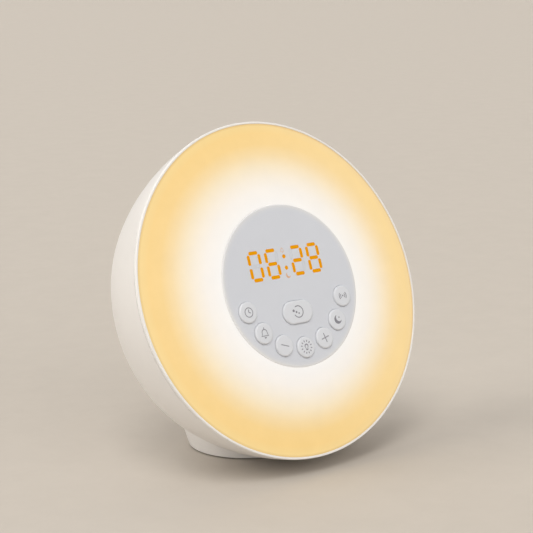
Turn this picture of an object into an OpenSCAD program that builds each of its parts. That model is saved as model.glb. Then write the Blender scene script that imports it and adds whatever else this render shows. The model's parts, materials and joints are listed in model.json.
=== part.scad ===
// Sunrise alarm clock: a round lamp on a small foot, with a display and eight buttons in its face.
// The origin is the centre of the foot's underside, +Z is up and the face looks along -Y.
// Parts of the head are drawn in the face's own frame: X to the right, Y up the face and Z out of
// the face, with Z = 0 in the plane of the front rim.

/* [Head] */
// Outer radius of the front rim
rim_r = 87.5; // [84:0.5:92]
// Lean of the face, back from upright, in degrees
tilt = 21; // [17:1:24]
// Space between the floor and the lowest point of the housing
belly_clearance = 3.2; // [3:0.1:6]
// Distance of the foot's centre behind the centre of the face
foot_back = 32; // [28:0.5:36]

/* [Rear housing] */
// Depth of the housing behind the rim
housing_depth = 54; // [50:0.5:60]
// Wall thickness of the housing
wall = 2.2; // [1.8:0.1:2.6]
// Angle at which the side leaves the rim, in degrees
side_angle = 4.5; // [3:0.5:6]
// Radius of the side's long curve
side_curve_r = 125; // [115:1:140]
// Radius of the curve from the side to the back
back_curve_r = 22; // [18:1:26]
// Radius of the circle of the four housing screws
housing_screw_r = 50; // [48:0.5:52]

/* [Bezel and diffuser] */
// Width of the bright lip around the diffuser
lip_w = 1.15; // [0.8:0.05:1.6]
// Height of the lip's outer side
bezel_h = 1.8; // [1.4:0.1:2.4]
// Width of the joint line between bezel and housing
joint_h = 0.5; // [0.3:0.1:0.8]
// Depth of the joint line
joint_depth = 0.6; // [0.3:0.1:0.8]
// Length of the bezel's ring inside the housing
spigot_l = 3.7; // [3:0.1:5]
// Thickness of the diffuser
diffuser_t = 1.8; // [1.4:0.1:2.2]
// Depth of the diffuser's edge below the rim
diffuser_drop = 0.3; // [0.1:0.05:0.5]

/* [Control panel] */
// Radius of the control panel
panel_r = 42; // [41:0.5:44]
// Height of the panel's face in front of the rim
panel_proud = 6.8; // [6:0.1:8]
// Thickness of the panel
panel_t = 2; // [1.6:0.1:2.4]
// Step from the diffuser's inner edge up to the panel's face
panel_step = 0.3; // [0.1:0.05:0.5]

/* [Buttons] */
// Radius of the arc that the seven round buttons lie on
arc_r = 32.2; // [31.6:0.1:32.8]
// Angle between neighbours on the arc, in degrees
arc_pitch = 24; // [23.6:0.1:24.2]
// Diameter of a round button
button_d = 11; // [10.4:0.1:11.2]
// Height of a button in front of the panel
button_proud = 1.1; // [0.9:0.1:1.6]
// Travel of a button
button_travel = 0.6; // [0.4:0.05:0.7]
// Width of the snooze button
snooze_w = 19; // [17:0.5:21]
// Height of the snooze button
snooze_h = 11.9; // [11:0.1:12.4]
// Distance of the snooze button below the centre
snooze_down = 14; // [13.6:0.1:14.4]

/* [Display] */
// Height of the display's centre above the centre of the panel
display_up = 12.1; // [11.4:0.1:12.4]
// Width of a digit, between the middles of its upright segments
digit_w = 6.7; // [6.2:0.1:7.2]
// Height of a digit, between the middles of its top and bottom segments
digit_h = 13.8; // [13:0.1:14.6]
// Distance between the two digits of a pair
digit_pitch = 10.85; // [10.4:0.05:11.2]
// Distance between the two pairs' centres
pair_pitch = 26.9; // [26:0.1:28]
// Width of a segment
segment_w = 1.8; // [1.4:0.1:1.9]

/* [Foot] */
// Radius of the foot at the floor
foot_r = 29.8; // [28.5:0.1:31]
// Radius of the foot at its widest
foot_top_r = 34; // [33:0.5:36]
// Height of the foot's widest ring
foot_flare_h = 13; // [11:0.5:15]
// Height of the foot's dome above its widest ring
foot_dome_h = 17; // [15:0.5:19]
// Radius of the rubber pad
pad_r = 25; // [22:0.5:26]
// Height of the pad that shows under the foot
pad_proud = 0.7; // [0.4:0.1:0.8]

/* [Speaker and back] */
// Radius of the speaker's frame
speaker_r = 20; // [18:0.5:21]
// Height of the speaker's centre above the centre of the back
speaker_up = 17; // [15:0.5:18]
// Radius of a hole in the speaker's grille
grille_hole_r = 0.9; // [0.7:0.05:1.1]
// Radius of the battery cap
cap_r = 12.9; // [12.7:0.1:13.1]
// Radius of the socket's opening for the power plug
socket_bore_r = 2.85; // [2.75:0.05:2.95]

/* [Hidden] */
$fn = 72;
eps = 0.05;               // how far a cut runs past the face that it opens
face_gap = 0.05;          // gap between faces that lie close without a fit
slip = 0.1;               // radial gap of pieces that drop into each other
curve_steps = 12;         // straight steps in each long curve of a turned profile
foot_steps = 8;

ROUND_NAMES = ["clock", "alarm", "minus", "light", "plus", "sleep", "radio"];

// ---- the turned profile of the housing, as [distance behind the rim, radius] ----

back_angle = asin((housing_depth - back_curve_r + side_curve_r * sin(side_angle))
                  / (side_curve_r - back_curve_r));
function side_angle_at(s) = asin(sin(side_angle) + s / side_curve_r);
function side_point(a, out) = [
    side_curve_r * (sin(a) - sin(side_angle)) + out * sin(a),
    rim_r - side_curve_r * (cos(side_angle) - cos(a)) + out * cos(a)];
function back_point(a, out) = [
    side_point(back_angle, 0)[0] + back_curve_r * (sin(a) - sin(back_angle)) + out * sin(a),
    side_point(back_angle, 0)[1] - back_curve_r * (cos(back_angle) - cos(a)) + out * cos(a)];
function steps(a, b, n) = [for (i = [0:n]) a + (b - a) * i / n];
function shell_curve(s0, out) = concat(
    [for (a = steps(side_angle_at(s0), back_angle, curve_steps)) side_point(a, out)],
    [for (i = [1:curve_steps]) back_point(back_angle + (90 - back_angle) * i / curve_steps, out)]);
function reversed(list) = [for (i = [len(list) - 1:-1:0]) list[i]];
// a turned profile is drawn with the radius along X and the face's Z along Y
function turned(list) = [for (p = list) [p[1], -p[0]]];

housing_s0 = bezel_h + joint_h;
housing_drop = max([for (p = shell_curve(0, 0)) p[1] * cos(tilt) + p[0] * sin(tilt)]);
face_z = belly_clearance + housing_drop;
back_z = -housing_depth;
back_in_z = back_z + wall;
inner_mouth_r = side_point(side_angle_at(housing_s0), -wall)[1];

// ---- heights along the face's Z ----

spigot_z = -housing_s0 - spigot_l;
edge_r = rim_r - lip_w;
edge_gap = 0.05;
edge_t = 1.35;
edge_z = -diffuser_drop;
ledge_z = edge_z - edge_t;
spigot_r = side_point(side_angle_at(housing_s0 + spigot_l), -wall)[1] - 1.5 * slip;
spigot_t = 1.9;
ledge_r = spigot_r - spigot_t;
skirt_r = ledge_r + 1;

panel_back_z = panel_proud - panel_t;
panel_gap = 0.15;
well_t = 1.5;             // thickness of the diffuser's seat for the panel
well_z = panel_back_z - well_t;
well_r = panel_r + panel_gap;
baffle_t = 1.4;
baffle_in_r = panel_r - 2.4;
baffle_r = baffle_in_r + baffle_t;
rim_wall_t = 1.3;
dome_edge = [edge_r - edge_gap, edge_z];
dome_top = [well_r, panel_proud - panel_step];
dome_c = (pow(dome_edge[0], 2) + pow(dome_edge[1], 2) - pow(dome_top[0], 2) - pow(dome_top[1], 2))
         / (2 * (dome_edge[1] - dome_top[1]));
dome_r = norm([dome_edge[0], dome_edge[1] - dome_c]);
function dome_z(r, in) = dome_c + sqrt(pow(dome_r - in, 2) - r * r);

// buttons, switches and boards, from the panel inwards
flange_t = 0.8;
flange_gap = 0.08;
flange_extra = 0.8;
hole_gap = 0.2;
stem_r = 1.6;
stem_l = 1.3;
flange_z = panel_back_z - flange_gap;
stem_z = flange_z - flange_t - stem_l;
plunger_r = 1.7;
plunger_gap = 0.08;
plunger_show = 1.55;      // length of plunger in front of its switch
switch_w = 6;
switch_h = 3.4;
switch_floor_t = 0.4;
plunger_room = 0.25;      // room left under the plunger when the button is pressed
plunger_l = plunger_show + switch_h - switch_floor_t - button_travel - plunger_room;
switch_z = stem_z - plunger_show - switch_h;
board_z = switch_z;
board_t = 1.6;
board_back_z = board_z - board_t;
board_r = baffle_in_r - 1.4;
plate_t = 2;
plate_gap = 2.1;          // room behind the board for its solder side
plate_z = board_back_z - plate_gap - plate_t;

light_depth = 20;         // depth of the LED ring behind the rim
shelf_t = 1.6;
shelf_r = baffle_r + 17;
dish_t = 1.4;
flange_out_r = spigot_r - 0.3;
dish_r = ledge_r - 0.9;
flange_out_t = 1.6;
ring_board_t = 1.4;
ring_board_in = baffle_r + 0.4;
ring_board_out = shelf_r - 1.5;
led_n = 24;
led_r = ring_board_in + 7;
led_size = [3.5, 2.8, 1];
post_r = 3.6;
post_l = 6.4;
post_z = -light_depth - shelf_t - post_l;
board_screw_r = ring_board_out - 3;
board_screw_l = 5;        // length of a board screw below the board
board_boss_r = 2.35;
board_boss_z = -light_depth - board_screw_l - 1.2;

// screws: shank radius, head radius, head height
self_r = 0.95;            // 2 mm self-tapping screw
self_head_r = 1.9;
self_head_h = 1.3;
big_r = 1.25;             // 2.5 mm self-tapping screw
big_head_r = 2.4;
big_head_h = 1.6;
clear = 0.25;             // radial clearance of a screw's passage
pilot_gap = 0.03;         // radial gap of a screw in its pilot hole
pilot_floor = 0.8;        // floor left under a blind pilot hole

boss_r = 4.6;
recess_r = 3.2;
recess_depth = 14;
web_z = back_z + recess_depth;

upper_boss = [20, 28.6];
lower_boss = [17.3, -7.4];
panel_boss_r = 2.6;
PANEL_BOSSES = [[-upper_boss[0], upper_boss[1]], upper_boss,
                [-lower_boss[0], lower_boss[1]], lower_boss];
panel_boss_hole = 5.5;
panel_screw_l = plate_t + plate_gap + board_t + 4.6;

arc_angles = [for (i = [0:6]) -90 + (i - 3) * arc_pitch];
function arc_place(i) = arc_r * [cos(arc_angles[i]), sin(arc_angles[i])];
snooze_place = [0, -snooze_down];
BUTTON_PLACES = concat([for (i = [0:6]) arc_place(i)], [snooze_place]);
function index_of(name) = search([name], ROUND_NAMES)[0];

// chips on the back of the main board: corner and size
CHIPS = [[-6, -1, [12, 8, 1.5]], [-24, 10, [8, 5, 1.2]], [14, 8, [5, 4, 1.2]]];

display_size = [50.4, 19.2];
display_gap = 0.15;
display_shift = -0.4;     // place of the colon beside the panel's centre line
digit_centres = [for (p = [-0.5, 0.5], d = [-0.5, 0.5])
    p * pair_pitch + d * digit_pitch + display_shift];
segment_gap = 0.45;       // gap between the tips of neighbouring segments
segment_trim = 0.55;      // how much shorter an upright segment is
pocket_depth = 0.4;
pocket_gap = 0.02;
colon_rise = 2.95;
colon_r = 1.05;
DIGITS = [0, 6, 2, 8];
// which of the segments top, top right, bottom right, bottom, bottom left, top left, middle are lit
SEGMENTS_LIT = [
    [1, 1, 1, 1, 1, 1, 0], [0, 1, 1, 0, 0, 0, 0], [1, 1, 0, 1, 1, 0, 1], [1, 1, 1, 1, 0, 0, 1],
    [0, 1, 1, 0, 0, 1, 1], [1, 0, 1, 1, 0, 1, 1], [1, 0, 1, 1, 1, 1, 1], [1, 1, 1, 0, 0, 0, 0],
    [1, 1, 1, 1, 1, 1, 1], [1, 1, 1, 1, 0, 1, 1]];

// back
speaker_place = [0, speaker_up];
speaker_ear = speaker_r + 2.4;
speaker_ear_r = 3;
speaker_t = 1.2;
speaker_stand = 3;        // height of the speaker's seat above the back wall
speaker_h = 7;
speaker_z = back_in_z + speaker_stand;
speaker_lip = 2;
cone_in_r = 6;
cone_h = 4.6;
cone_t = 0.5;
dust_cap_h = 1.8;
magnet_r = 11;
magnet_h = 6;
terminal_size = [6, 2.6, 2.4];
terminal_z = 2.6;         // underside of the terminal strip, from the speaker's seat
terminal_y = 3.3 - speaker_r;   // middle of the terminal strip, from the speaker's centre
grille_pitch = 3.9;
grille_rings = 3;
battery_place = [-26, -24];
lug_out = 1.1;
lug_t = 1.2;
cap_t = wall - 0.3;
lug_w = 6;
cap_turn = 60;            // turn of the battery cap from locked to free, in degrees
tail_r = 0.6;             // radius of the battery contacts' tails
tail_out = 1.2;
cell_r = 10;
cell_t = 3.2;
cell_step = 0.6;
cup_t = 1.4;
cup_r = cap_r + slip;
cup_groove_r = cap_r + lug_out + slip;
tail_pitch = (cell_r + cup_r) / 2;
cap_neck_r = cap_r - 1;
cap_in_z = back_z + cap_t + lug_t + 0.3;
cell_z = cap_in_z + face_gap;
contact_t = 1.1;
contact_r = 3;
contact_w = 5;
cup_floor_z = cell_z + cell_t + contact_t;
socket_place = [26, -26];
socket_nozzle_r = 4.4;
socket_depth = 9.5;
socket_box = [9, 11, 12];
grommet_place = [40, -8];
grommet_hole_r = 2.6;
label_size = [30, 10];
label_depth = 0.4;
label_down = 3;

// foot
cover_t = 1.6;
cover_gap = 0.1;
cover_z = pad_proud;
cover_seat_z = cover_z + cover_t;
cover_head_h = 0.8;
cover_r = foot_r - 2.6;
pad_recess = 0.4;
roof_t = 2;
foot_wall = 2.2;
foot_boss_x = 12;
foot_boss_r = 3.6;
foot_boss_l = 8;
foot_boss_floor = 1.2;    // floor left under the foot's pilot holes
foot_boss_inset = 1;      // from the bosses to the lower edge of the back's flat
back_flat_r = back_point(90, 0)[1];
foot_boss_y = -sqrt(pow(back_flat_r - foot_boss_r - foot_boss_inset, 2) - pow(foot_boss_x, 2));
tip_gap = 0.3;            // gap under the tip of a screw
foot_screw_l = wall + foot_boss_l - foot_boss_floor - tip_gap;
COVER_SCREWS = [[-20, 8], [20, 8], [0, 19]];
cover_boss_r = 2.8;
cover_pilot_l = 6.4;      // depth of a cover screw's pilot hole
cover_screw_l = cover_t - pad_recess + cover_pilot_l - 2 * tip_gap;
ballast_front = 2;
ballast_r = 19.8;
ballast_h = 9;
ballast_cut = 6.4;
ballast_gap = 0.3;        // gap round the cover's screw bosses

// wiring
slot_w = 26;              // opening in the plate that the wires pass through
slot_y0 = -35.8;
slot_y1 = -30;
ribbon_w = 8;
ribbon_t = 0.7;
ribbon_room = 0.9;
ribbon_low_z = plate_z - 5;
lead_r = 0.6;
lead_pitch = 3;
lead_straight = 1.5;
lead_end_z = board_back_z - face_gap;
// where the leads end on the board, and the points of their routes between their straight ends
speaker_lead_end = [8.5, -31.4];
power_lead_end = [8.5, -34.3];
battery_lead_end = [-10, -32.6];
SPEAKER_ROUTE = [[2, -13, -33], [6, -26, -22], [8.5, -31.4, -12]];
POWER_ROUTE = [[24, -28, -31], [15, -32, -21], [8.5, -34.3, -13]];
BATTERY_ROUTES = [[[-20, -28, -31], [-14, -31, -21], [-10, -32.6, -13]],
                  [[-14, -28, -31], [-10, -31, -21], [-7, -32.6, -13]]];

module in_head() {
    translate([0, -foot_back, face_z]) rotate([90 - tilt, 0, 0]) children();
}

module ring(r_in, r_out, z0, z1) {
    translate([0, 0, z0]) difference() {
        cylinder(r = r_out, h = z1 - z0);
        translate([0, 0, -eps]) cylinder(r = r_in, h = z1 - z0 + 2 * eps);
    }
}

module disc(r, z0, z1) {
    translate([0, 0, z0]) cylinder(r = r, h = z1 - z0);
}

// a pan-head screw with its shank along +Z and a cross in its head
module screw(shank_r, shank_l, head_r, head_h) {
    cross_w = 0.3 * head_r;
    cross_l = 1.3 * head_r;
    cross_d = 0.5 * head_h;
    difference() {
        union() {
            cylinder(r = shank_r, h = shank_l);
            translate([0, 0, -head_h]) cylinder(r = head_r, h = head_h);
        }
        for (turn = [0, 90]) rotate([0, 0, turn])
            translate([-cross_l / 2, -cross_w / 2, -head_h - eps])
                cube([cross_l, cross_w, cross_d + eps]);
    }
}

module four_ways() {
    for (turn = [0:90:270]) rotate([0, 0, turn]) children();
}

// ---- rear housing ----

// the full solid inside the housing's outer skin, grown outwards by the amount given
module housing_mass(out) {
    curve = shell_curve(0, out);
    rotate_extrude() polygon(turned(concat([[0, 0]], curve, [[housing_depth + out, 0]])));
}

module grille_holes() {
    translate([speaker_place[0], speaker_place[1], back_z - eps]) {
        cylinder(r = grille_hole_r, h = wall + 2 * eps, $fn = 24);
        for (k = [1:grille_rings], i = [0:6 * k - 1]) rotate([0, 0, i * 60 / k])
            translate([k * grille_pitch, 0, 0])
                cylinder(r = grille_hole_r, h = wall + 2 * eps, $fn = 24);
    }
}

// sector-shaped room for the battery cap's two lugs
module lug_blocks(r, w, z0, z1) {
    intersection() {
        disc(r, z0, z1);
        translate([-r - eps, -w / 2, z0 - eps]) cube([2 * r + 2 * eps, w, z1 - z0 + 2 * eps]);
    }
}

module battery_cup() {
    translate([battery_place[0], battery_place[1], 0])
        disc(cup_groove_r + cup_t, back_in_z - eps, cup_floor_z + cup_t);
}

module battery_cup_room() {
    groove_z = back_z + cap_t + 0.1;
    translate([battery_place[0], battery_place[1], 0]) {
        disc(cup_r, back_z - eps, cup_floor_z);
        disc(cup_groove_r, groove_z, groove_z + lug_t + 0.3);
        rotate([0, 0, -cap_turn])
            lug_blocks(cup_groove_r - slip / 2, lug_w + 1, back_z - eps, groove_z + eps);
    }
}

module rear_housing() {
    outer = shell_curve(housing_s0, 0);
    inner = [for (p = shell_curve(housing_s0, -wall)) if (p[0] > housing_s0 + 0.5) p];
    shell = concat(outer, [[housing_depth, 0], [housing_depth - wall, 0]], reversed(inner),
                   [[housing_s0, inner_mouth_r]]);
    color("whitesmoke") in_head() difference() {
        union() {
            rotate_extrude($fn = 96) polygon(turned(shell));
            four_ways() translate([housing_screw_r, 0, 0]) disc(boss_r, back_in_z - eps, post_z);
            for (side = [-1, 1])
                translate([speaker_place[0] + side * speaker_ear, speaker_place[1], 0])
                    disc(speaker_ear_r, back_in_z - eps, back_in_z + speaker_stand);
            battery_cup();
        }
        four_ways() translate([housing_screw_r, 0, 0]) {
            disc(recess_r, back_z - eps, web_z);
            disc(big_r + clear, web_z - eps, post_z + eps);
        }
        for (side = [-1, 1])
            translate([speaker_place[0] + side * speaker_ear, speaker_place[1], 0])
                disc(self_r + pilot_gap, back_in_z + pilot_floor, back_in_z + speaker_stand + eps);
        grille_holes();
        battery_cup_room();
        translate([socket_place[0], socket_place[1], 0])
            disc(socket_nozzle_r + slip, back_z - eps, back_in_z + eps);
        translate([grommet_place[0], grommet_place[1], 0])
            disc(grommet_hole_r, back_z - eps, back_in_z + eps);
        at_foot_bosses() disc(big_r + clear, back_z - eps, back_in_z + eps);
        translate([-label_size[0] / 2, -label_down - label_size[1] / 2, back_z - eps])
            cube([label_size[0], label_size[1], label_depth + eps]);
        at_contact_tails() disc(tail_r + slip, cup_floor_z - eps, cup_floor_z + cup_t + eps);
    }
}

// ---- bezel, diffuser and reflector ----

module front_bezel() {
    crown = 0.4;
    color("white") in_head() rotate_extrude($fn = 120) polygon([
        [edge_r, 0], [rim_r - crown, 0], [rim_r, -crown], [rim_r, -bezel_h],
        [rim_r - joint_depth, -bezel_h], [rim_r - joint_depth, -housing_s0],
        [spigot_r, -housing_s0], [spigot_r, spigot_z], [ledge_r, spigot_z],
        [ledge_r, ledge_z], [edge_r, ledge_z]]);
}

module diffuser() {
    outside = [for (i = [0:curve_steps])
        let (r = dome_edge[0] + (dome_top[0] - dome_edge[0]) * i / curve_steps) [r, dome_z(r, 0)]];
    inner_r0 = well_r + rim_wall_t;
    inside = [for (i = [0:curve_steps])
        let (r = inner_r0 + (skirt_r - inner_r0) * i / curve_steps) [r, dome_z(r, diffuser_t)]];
    color("navajowhite") in_head() rotate_extrude($fn = 120) polygon(concat(
        outside,
        [[well_r, panel_back_z], [baffle_in_r, panel_back_z],
         [baffle_in_r, well_z], [inner_r0, well_z]],
        inside,
        [[skirt_r, ledge_z], [dome_edge[0], ledge_z]]));
}

module reflector() {
    shelf_z = -light_depth;
    dish_top_z = spigot_z;
    baffle_top_z = well_z - face_gap;
    color("white") in_head() difference() {
        union() {
            rotate_extrude($fn = 120) polygon([
                [baffle_in_r, baffle_top_z], [baffle_r, baffle_top_z], [baffle_r, shelf_z],
                [shelf_r, shelf_z], [dish_r, dish_top_z], [flange_out_r, dish_top_z],
                [flange_out_r, dish_top_z - flange_out_t],
                [dish_r + dish_t, dish_top_z - flange_out_t],
                [shelf_r + dish_t, shelf_z - shelf_t], [baffle_in_r, shelf_z - shelf_t]]);
            disc(baffle_in_r + eps, plate_z, plate_z + plate_t);
            for (p = PANEL_BOSSES) translate([p[0], p[1], 0])
                disc(panel_boss_r, plate_z + plate_t - eps, board_back_z);
            four_ways() translate([housing_screw_r, 0, 0])
                disc(post_r, post_z, shelf_z - shelf_t + eps);
            at_board_screws() disc(board_boss_r, board_boss_z, shelf_z - shelf_t + eps);
        }
        for (p = PANEL_BOSSES) translate([p[0], p[1], 0])
            disc(self_r + clear, plate_z - eps, board_back_z + eps);
        four_ways() translate([housing_screw_r, 0, 0])
            disc(big_r + pilot_gap, post_z - eps, shelf_z - pilot_floor);
        at_board_screws() disc(self_r + pilot_gap, board_boss_z + pilot_floor, shelf_z + eps);
        plate_slot();
        ribbon_window();
    }
}

module at_board_screws() {
    for (turn = [30, 150, 270]) rotate([0, 0, turn]) translate([board_screw_r, 0, 0]) children();
}

module plate_slot() {
    translate([-slot_w / 2, slot_y0, plate_z - eps])
        cube([slot_w, slot_y1 - slot_y0, plate_t + 2 * eps]);
}

module ribbon_window() {
    translate([-ribbon_w / 2 - ribbon_room, -baffle_r - eps, ribbon_low_z - ribbon_room])
        cube([ribbon_w + 2 * ribbon_room, baffle_t + ribbon_room, ribbon_t + 2 * ribbon_room]);
}

// ---- control panel ----

module at_each(places) {
    for (p = places) translate([p[0], p[1], 0]) children();
}

// outline with half-round ends, at the size given, grown by the amount given
function obround(w, h, grow) = let (r = h / 2 + grow, c = (w - h) / 2) concat(
    [for (a = steps(-90, 90, 16)) [c + r * cos(a), r * sin(a)]],
    [for (a = steps(90, 270, 16)) [-c + r * cos(a), r * sin(a)]]);

module obround_plate(w, h, grow, z0, z1) {
    translate([0, 0, z0]) linear_extrude(z1 - z0) polygon(obround(w, h, grow));
}

// a lying segment with pointed ends, centred at the origin
function segment_outline(l, grow) = let (h = segment_w / 2 + grow, x = l / 2 + grow, tip = 0.55 * h)
    [[-x, 0], [-x + tip, h], [x - tip, h], [x, 0], [x - tip, -h], [-x + tip, -h]];

module segment(k, grow) {
    lying_l = digit_w - 2 * segment_gap;
    standing_l = digit_h / 2 - 2 * segment_gap - segment_trim;
    x = digit_w / 2;
    y = digit_h / 4;
    places = [[0, 2 * y], [x, y], [x, -y], [0, -2 * y], [-x, -y], [-x, y], [0, 0]];
    standing = k != 0 && k != 3 && k != 6;
    translate(places[k]) rotate(standing ? 90 : 0)
        polygon(segment_outline(standing ? standing_l : lying_l, grow));
}

// all segments of the wanted state, as solids from z0 to z1
module segments(state, grow, z0, z1) {
    for (d = [0:3], k = [0:6]) if (SEGMENTS_LIT[DIGITS[d]][k] == state)
        translate([digit_centres[d], display_up, z0])
            linear_extrude(z1 - z0) segment(k, grow);
}

module colon_dots(grow, z0, z1) {
    for (side = [-1, 1]) translate([display_shift, display_up + side * colon_rise, 0])
        disc(colon_r + grow, z0, z1);
}

module front_panel() {
    edge = 0.3;
    pocket_z = panel_proud - pocket_depth;
    color("gainsboro") in_head() difference() {
        union() {
            rotate_extrude($fn = 120) polygon([
                [0, panel_back_z], [panel_r, panel_back_z], [panel_r, panel_proud - edge],
                [panel_r - edge, panel_proud], [0, panel_proud]]);
            at_each(PANEL_BOSSES) disc(panel_boss_r, board_z, panel_back_z + eps);
        }
        at_each(PANEL_BOSSES) disc(self_r + pilot_gap, board_z - eps, board_z + panel_boss_hole);
        for (i = [0:6]) translate([arc_place(i)[0], arc_place(i)[1], 0])
            disc(button_d / 2 + hole_gap, panel_back_z - eps, panel_proud + eps);
        translate([snooze_place[0], snooze_place[1], 0])
            obround_plate(snooze_w, snooze_h, hole_gap, panel_back_z - eps, panel_proud + eps);
        segments(1, pocket_gap, pocket_z, panel_proud + eps);
        segments(0, pocket_gap, pocket_z, panel_proud + eps);
        colon_dots(pocket_gap, pocket_z, panel_proud + eps);
    }
}

module lit_segments() {
    color("orange") in_head() {
        segments(1, 0, panel_proud - pocket_depth, panel_proud);
        colon_dots(0, panel_proud - pocket_depth, panel_proud);
    }
}

module unlit_segments() {
    color("lightgray") in_head() segments(0, 0, panel_proud - pocket_depth, panel_proud);
}

// ---- buttons and switches ----

module round_button(name) {
    p = arc_place(index_of(name));
    r = button_d / 2;
    top = panel_proud + button_proud;
    round_r = 0.6;
    edge = [for (a = steps(0, 90, 5)) [r - round_r + round_r * cos(a), top - round_r + round_r * sin(a)]];
    color("gainsboro") in_head() translate([p[0], p[1], 0]) rotate_extrude() polygon(concat(
        [[0, stem_z], [stem_r, stem_z], [stem_r, flange_z - flange_t],
         [r + flange_extra, flange_z - flange_t], [r + flange_extra, flange_z], [r, flange_z]],
        edge, [[0, top]]));
}

module snooze_button() {
    top = panel_proud + button_proud;
    color("gainsboro") in_head() translate([snooze_place[0], snooze_place[1], 0]) {
        for (step = [[0, 0.6], [0.2, 0.25], [0.5, 0]])
            obround_plate(snooze_w, snooze_h, -step[0], flange_z - eps, top - step[1]);
        obround_plate(snooze_w, snooze_h, flange_extra, flange_z - flange_t, flange_z);
        disc(stem_r, stem_z, flange_z - flange_t + eps);
    }
}

module plunger(k) {
    p = BUTTON_PLACES[k];
    color("dimgray") in_head() translate([p[0], p[1], 0])
        disc(plunger_r, stem_z - plunger_l, stem_z);
}

module switch_bodies() {
    color("silver") in_head() at_each(BUTTON_PLACES) difference() {
        translate([-switch_w / 2, -switch_w / 2, switch_z]) cube([switch_w, switch_w, switch_h]);
        disc(plunger_r + plunger_gap, switch_z + switch_floor_t, switch_z + switch_h + eps);
    }
}

module display_module() {
    color("darkslategray") in_head()
        translate([display_shift - display_size[0] / 2, display_up - display_size[1] / 2, board_z])
            cube([display_size[0], display_size[1], panel_back_z - display_gap - board_z]);
}

module main_board() {
    color("seagreen") in_head() difference() {
        disc(board_r, board_back_z, board_z);
        at_each(PANEL_BOSSES) disc(self_r + clear, board_back_z - eps, board_z + eps);
    }
}

module control_chip() {
    color("black") in_head() for (chip = CHIPS)
        translate([chip[0], chip[1], board_back_z - chip[2][2]]) cube(chip[2]);
}

module panel_screws() {
    color("silver") in_head() at_each(PANEL_BOSSES) translate([0, 0, plate_z])
        screw(self_r, panel_screw_l, self_head_r, self_head_h);
}

// ---- lamp ----

module led_board() {
    z0 = -light_depth;
    color("white") in_head() difference() {
        ring(ring_board_in, ring_board_out, z0, z0 + ring_board_t);
        at_board_screws() disc(self_r + clear, z0 - eps, z0 + ring_board_t + eps);
    }
}

module leds() {
    color("lightyellow") in_head() for (i = [0:led_n - 1]) rotate([0, 0, (i + 0.5) * 360 / led_n])
        translate([led_r - led_size[0] / 2, -led_size[1] / 2, -light_depth + ring_board_t])
            cube(led_size);
}

module led_board_screws() {
    color("silver") in_head() at_board_screws() translate([0, 0, -light_depth + ring_board_t])
        mirror([0, 0, 1]) screw(self_r, ring_board_t + board_screw_l, self_head_r, self_head_h);
}

// ---- speaker ----

module speaker_frame() {
    basket_r = speaker_r - 1.6;
    basket_low_r = magnet_r + 1.6;
    color("dimgray") in_head() translate([speaker_place[0], speaker_place[1], speaker_z])
        difference() {
            union() {
                rotate_extrude() polygon([
                    [speaker_r - speaker_lip, 0], [speaker_r, 0], [speaker_r, speaker_t],
                    [basket_r, speaker_t], [basket_low_r, speaker_h],
                    [0, speaker_h], [0, speaker_h - speaker_t],
                    [basket_low_r - speaker_t, speaker_h - speaker_t],
                    [speaker_r - speaker_lip - speaker_t, speaker_t]]);
                translate([-terminal_size[0] / 2, terminal_y - terminal_size[1] / 2, terminal_z])
                    cube(terminal_size);
                for (side = [-1, 1]) {
                    translate([side * speaker_ear, 0, 0]) cylinder(r = speaker_ear_r, h = speaker_t);
                    translate([side * (speaker_ear - 1.7) - 1.7, -speaker_ear_r, 0])
                        cube([3.4, 2 * speaker_ear_r, speaker_t]);
                }
            }
            for (side = [-1, 1]) translate([side * speaker_ear, 0, -eps])
                cylinder(r = self_r + clear, h = speaker_t + 2 * eps);
        }
}

module speaker_cone() {
    out_r = speaker_r - speaker_lip - speaker_t - 2 * slip;
    color("black") in_head() translate([speaker_place[0], speaker_place[1], speaker_z])
        rotate_extrude() polygon([
            [out_r, speaker_t - cone_t], [out_r, speaker_t], [cone_in_r, cone_h],
            [0, cone_h - dust_cap_h], [0, cone_h - dust_cap_h - cone_t], [cone_in_r, cone_h - cone_t]]);
}

module speaker_magnet() {
    color("darkgray") in_head() translate([speaker_place[0], speaker_place[1], speaker_z])
        disc(magnet_r, speaker_h, speaker_h + magnet_h);
}

module speaker_screws() {
    shank_l = speaker_t + speaker_stand - pilot_floor - 2 * slip;
    color("silver") in_head() for (side = [-1, 1])
        translate([speaker_place[0] + side * speaker_ear, speaker_place[1], speaker_z + speaker_t])
            mirror([0, 0, 1]) screw(self_r, shank_l, self_head_r, self_head_h);
}

// ---- back ----

module power_socket() {
    pin_r = 1;
    bore_top = back_z + socket_depth;
    color("dimgray") in_head() translate([socket_place[0], socket_place[1], 0]) {
        difference() {
            union() {
                disc(socket_nozzle_r, back_z, back_in_z + 1);
                translate([-socket_box[0] / 2, -socket_box[1] / 2, back_in_z + face_gap])
                    cube(socket_box);
            }
            disc(socket_bore_r, back_z - eps, bore_top);
        }
        disc(pin_r, back_z + 1.2, bore_top + eps);
    }
}

module antenna_grommet() {
    lip = 1.1;
    lip_t = 0.9;
    bore_r = 0.9;
    color("dimgray") in_head() translate([grommet_place[0], grommet_place[1], 0])
        rotate_extrude() polygon([
            [bore_r, back_z - lip_t], [grommet_hole_r + lip - 0.4, back_z - lip_t],
            [grommet_hole_r + lip, back_z - lip_t + 0.4], [grommet_hole_r + lip, back_z],
            [grommet_hole_r - 0.03, back_z], [grommet_hole_r - 0.03, back_in_z],
            [grommet_hole_r + lip - 0.4, back_in_z], [grommet_hole_r + 0.2, back_in_z + 1.2],
            [bore_r, back_in_z + 1.2]]);
}

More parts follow.
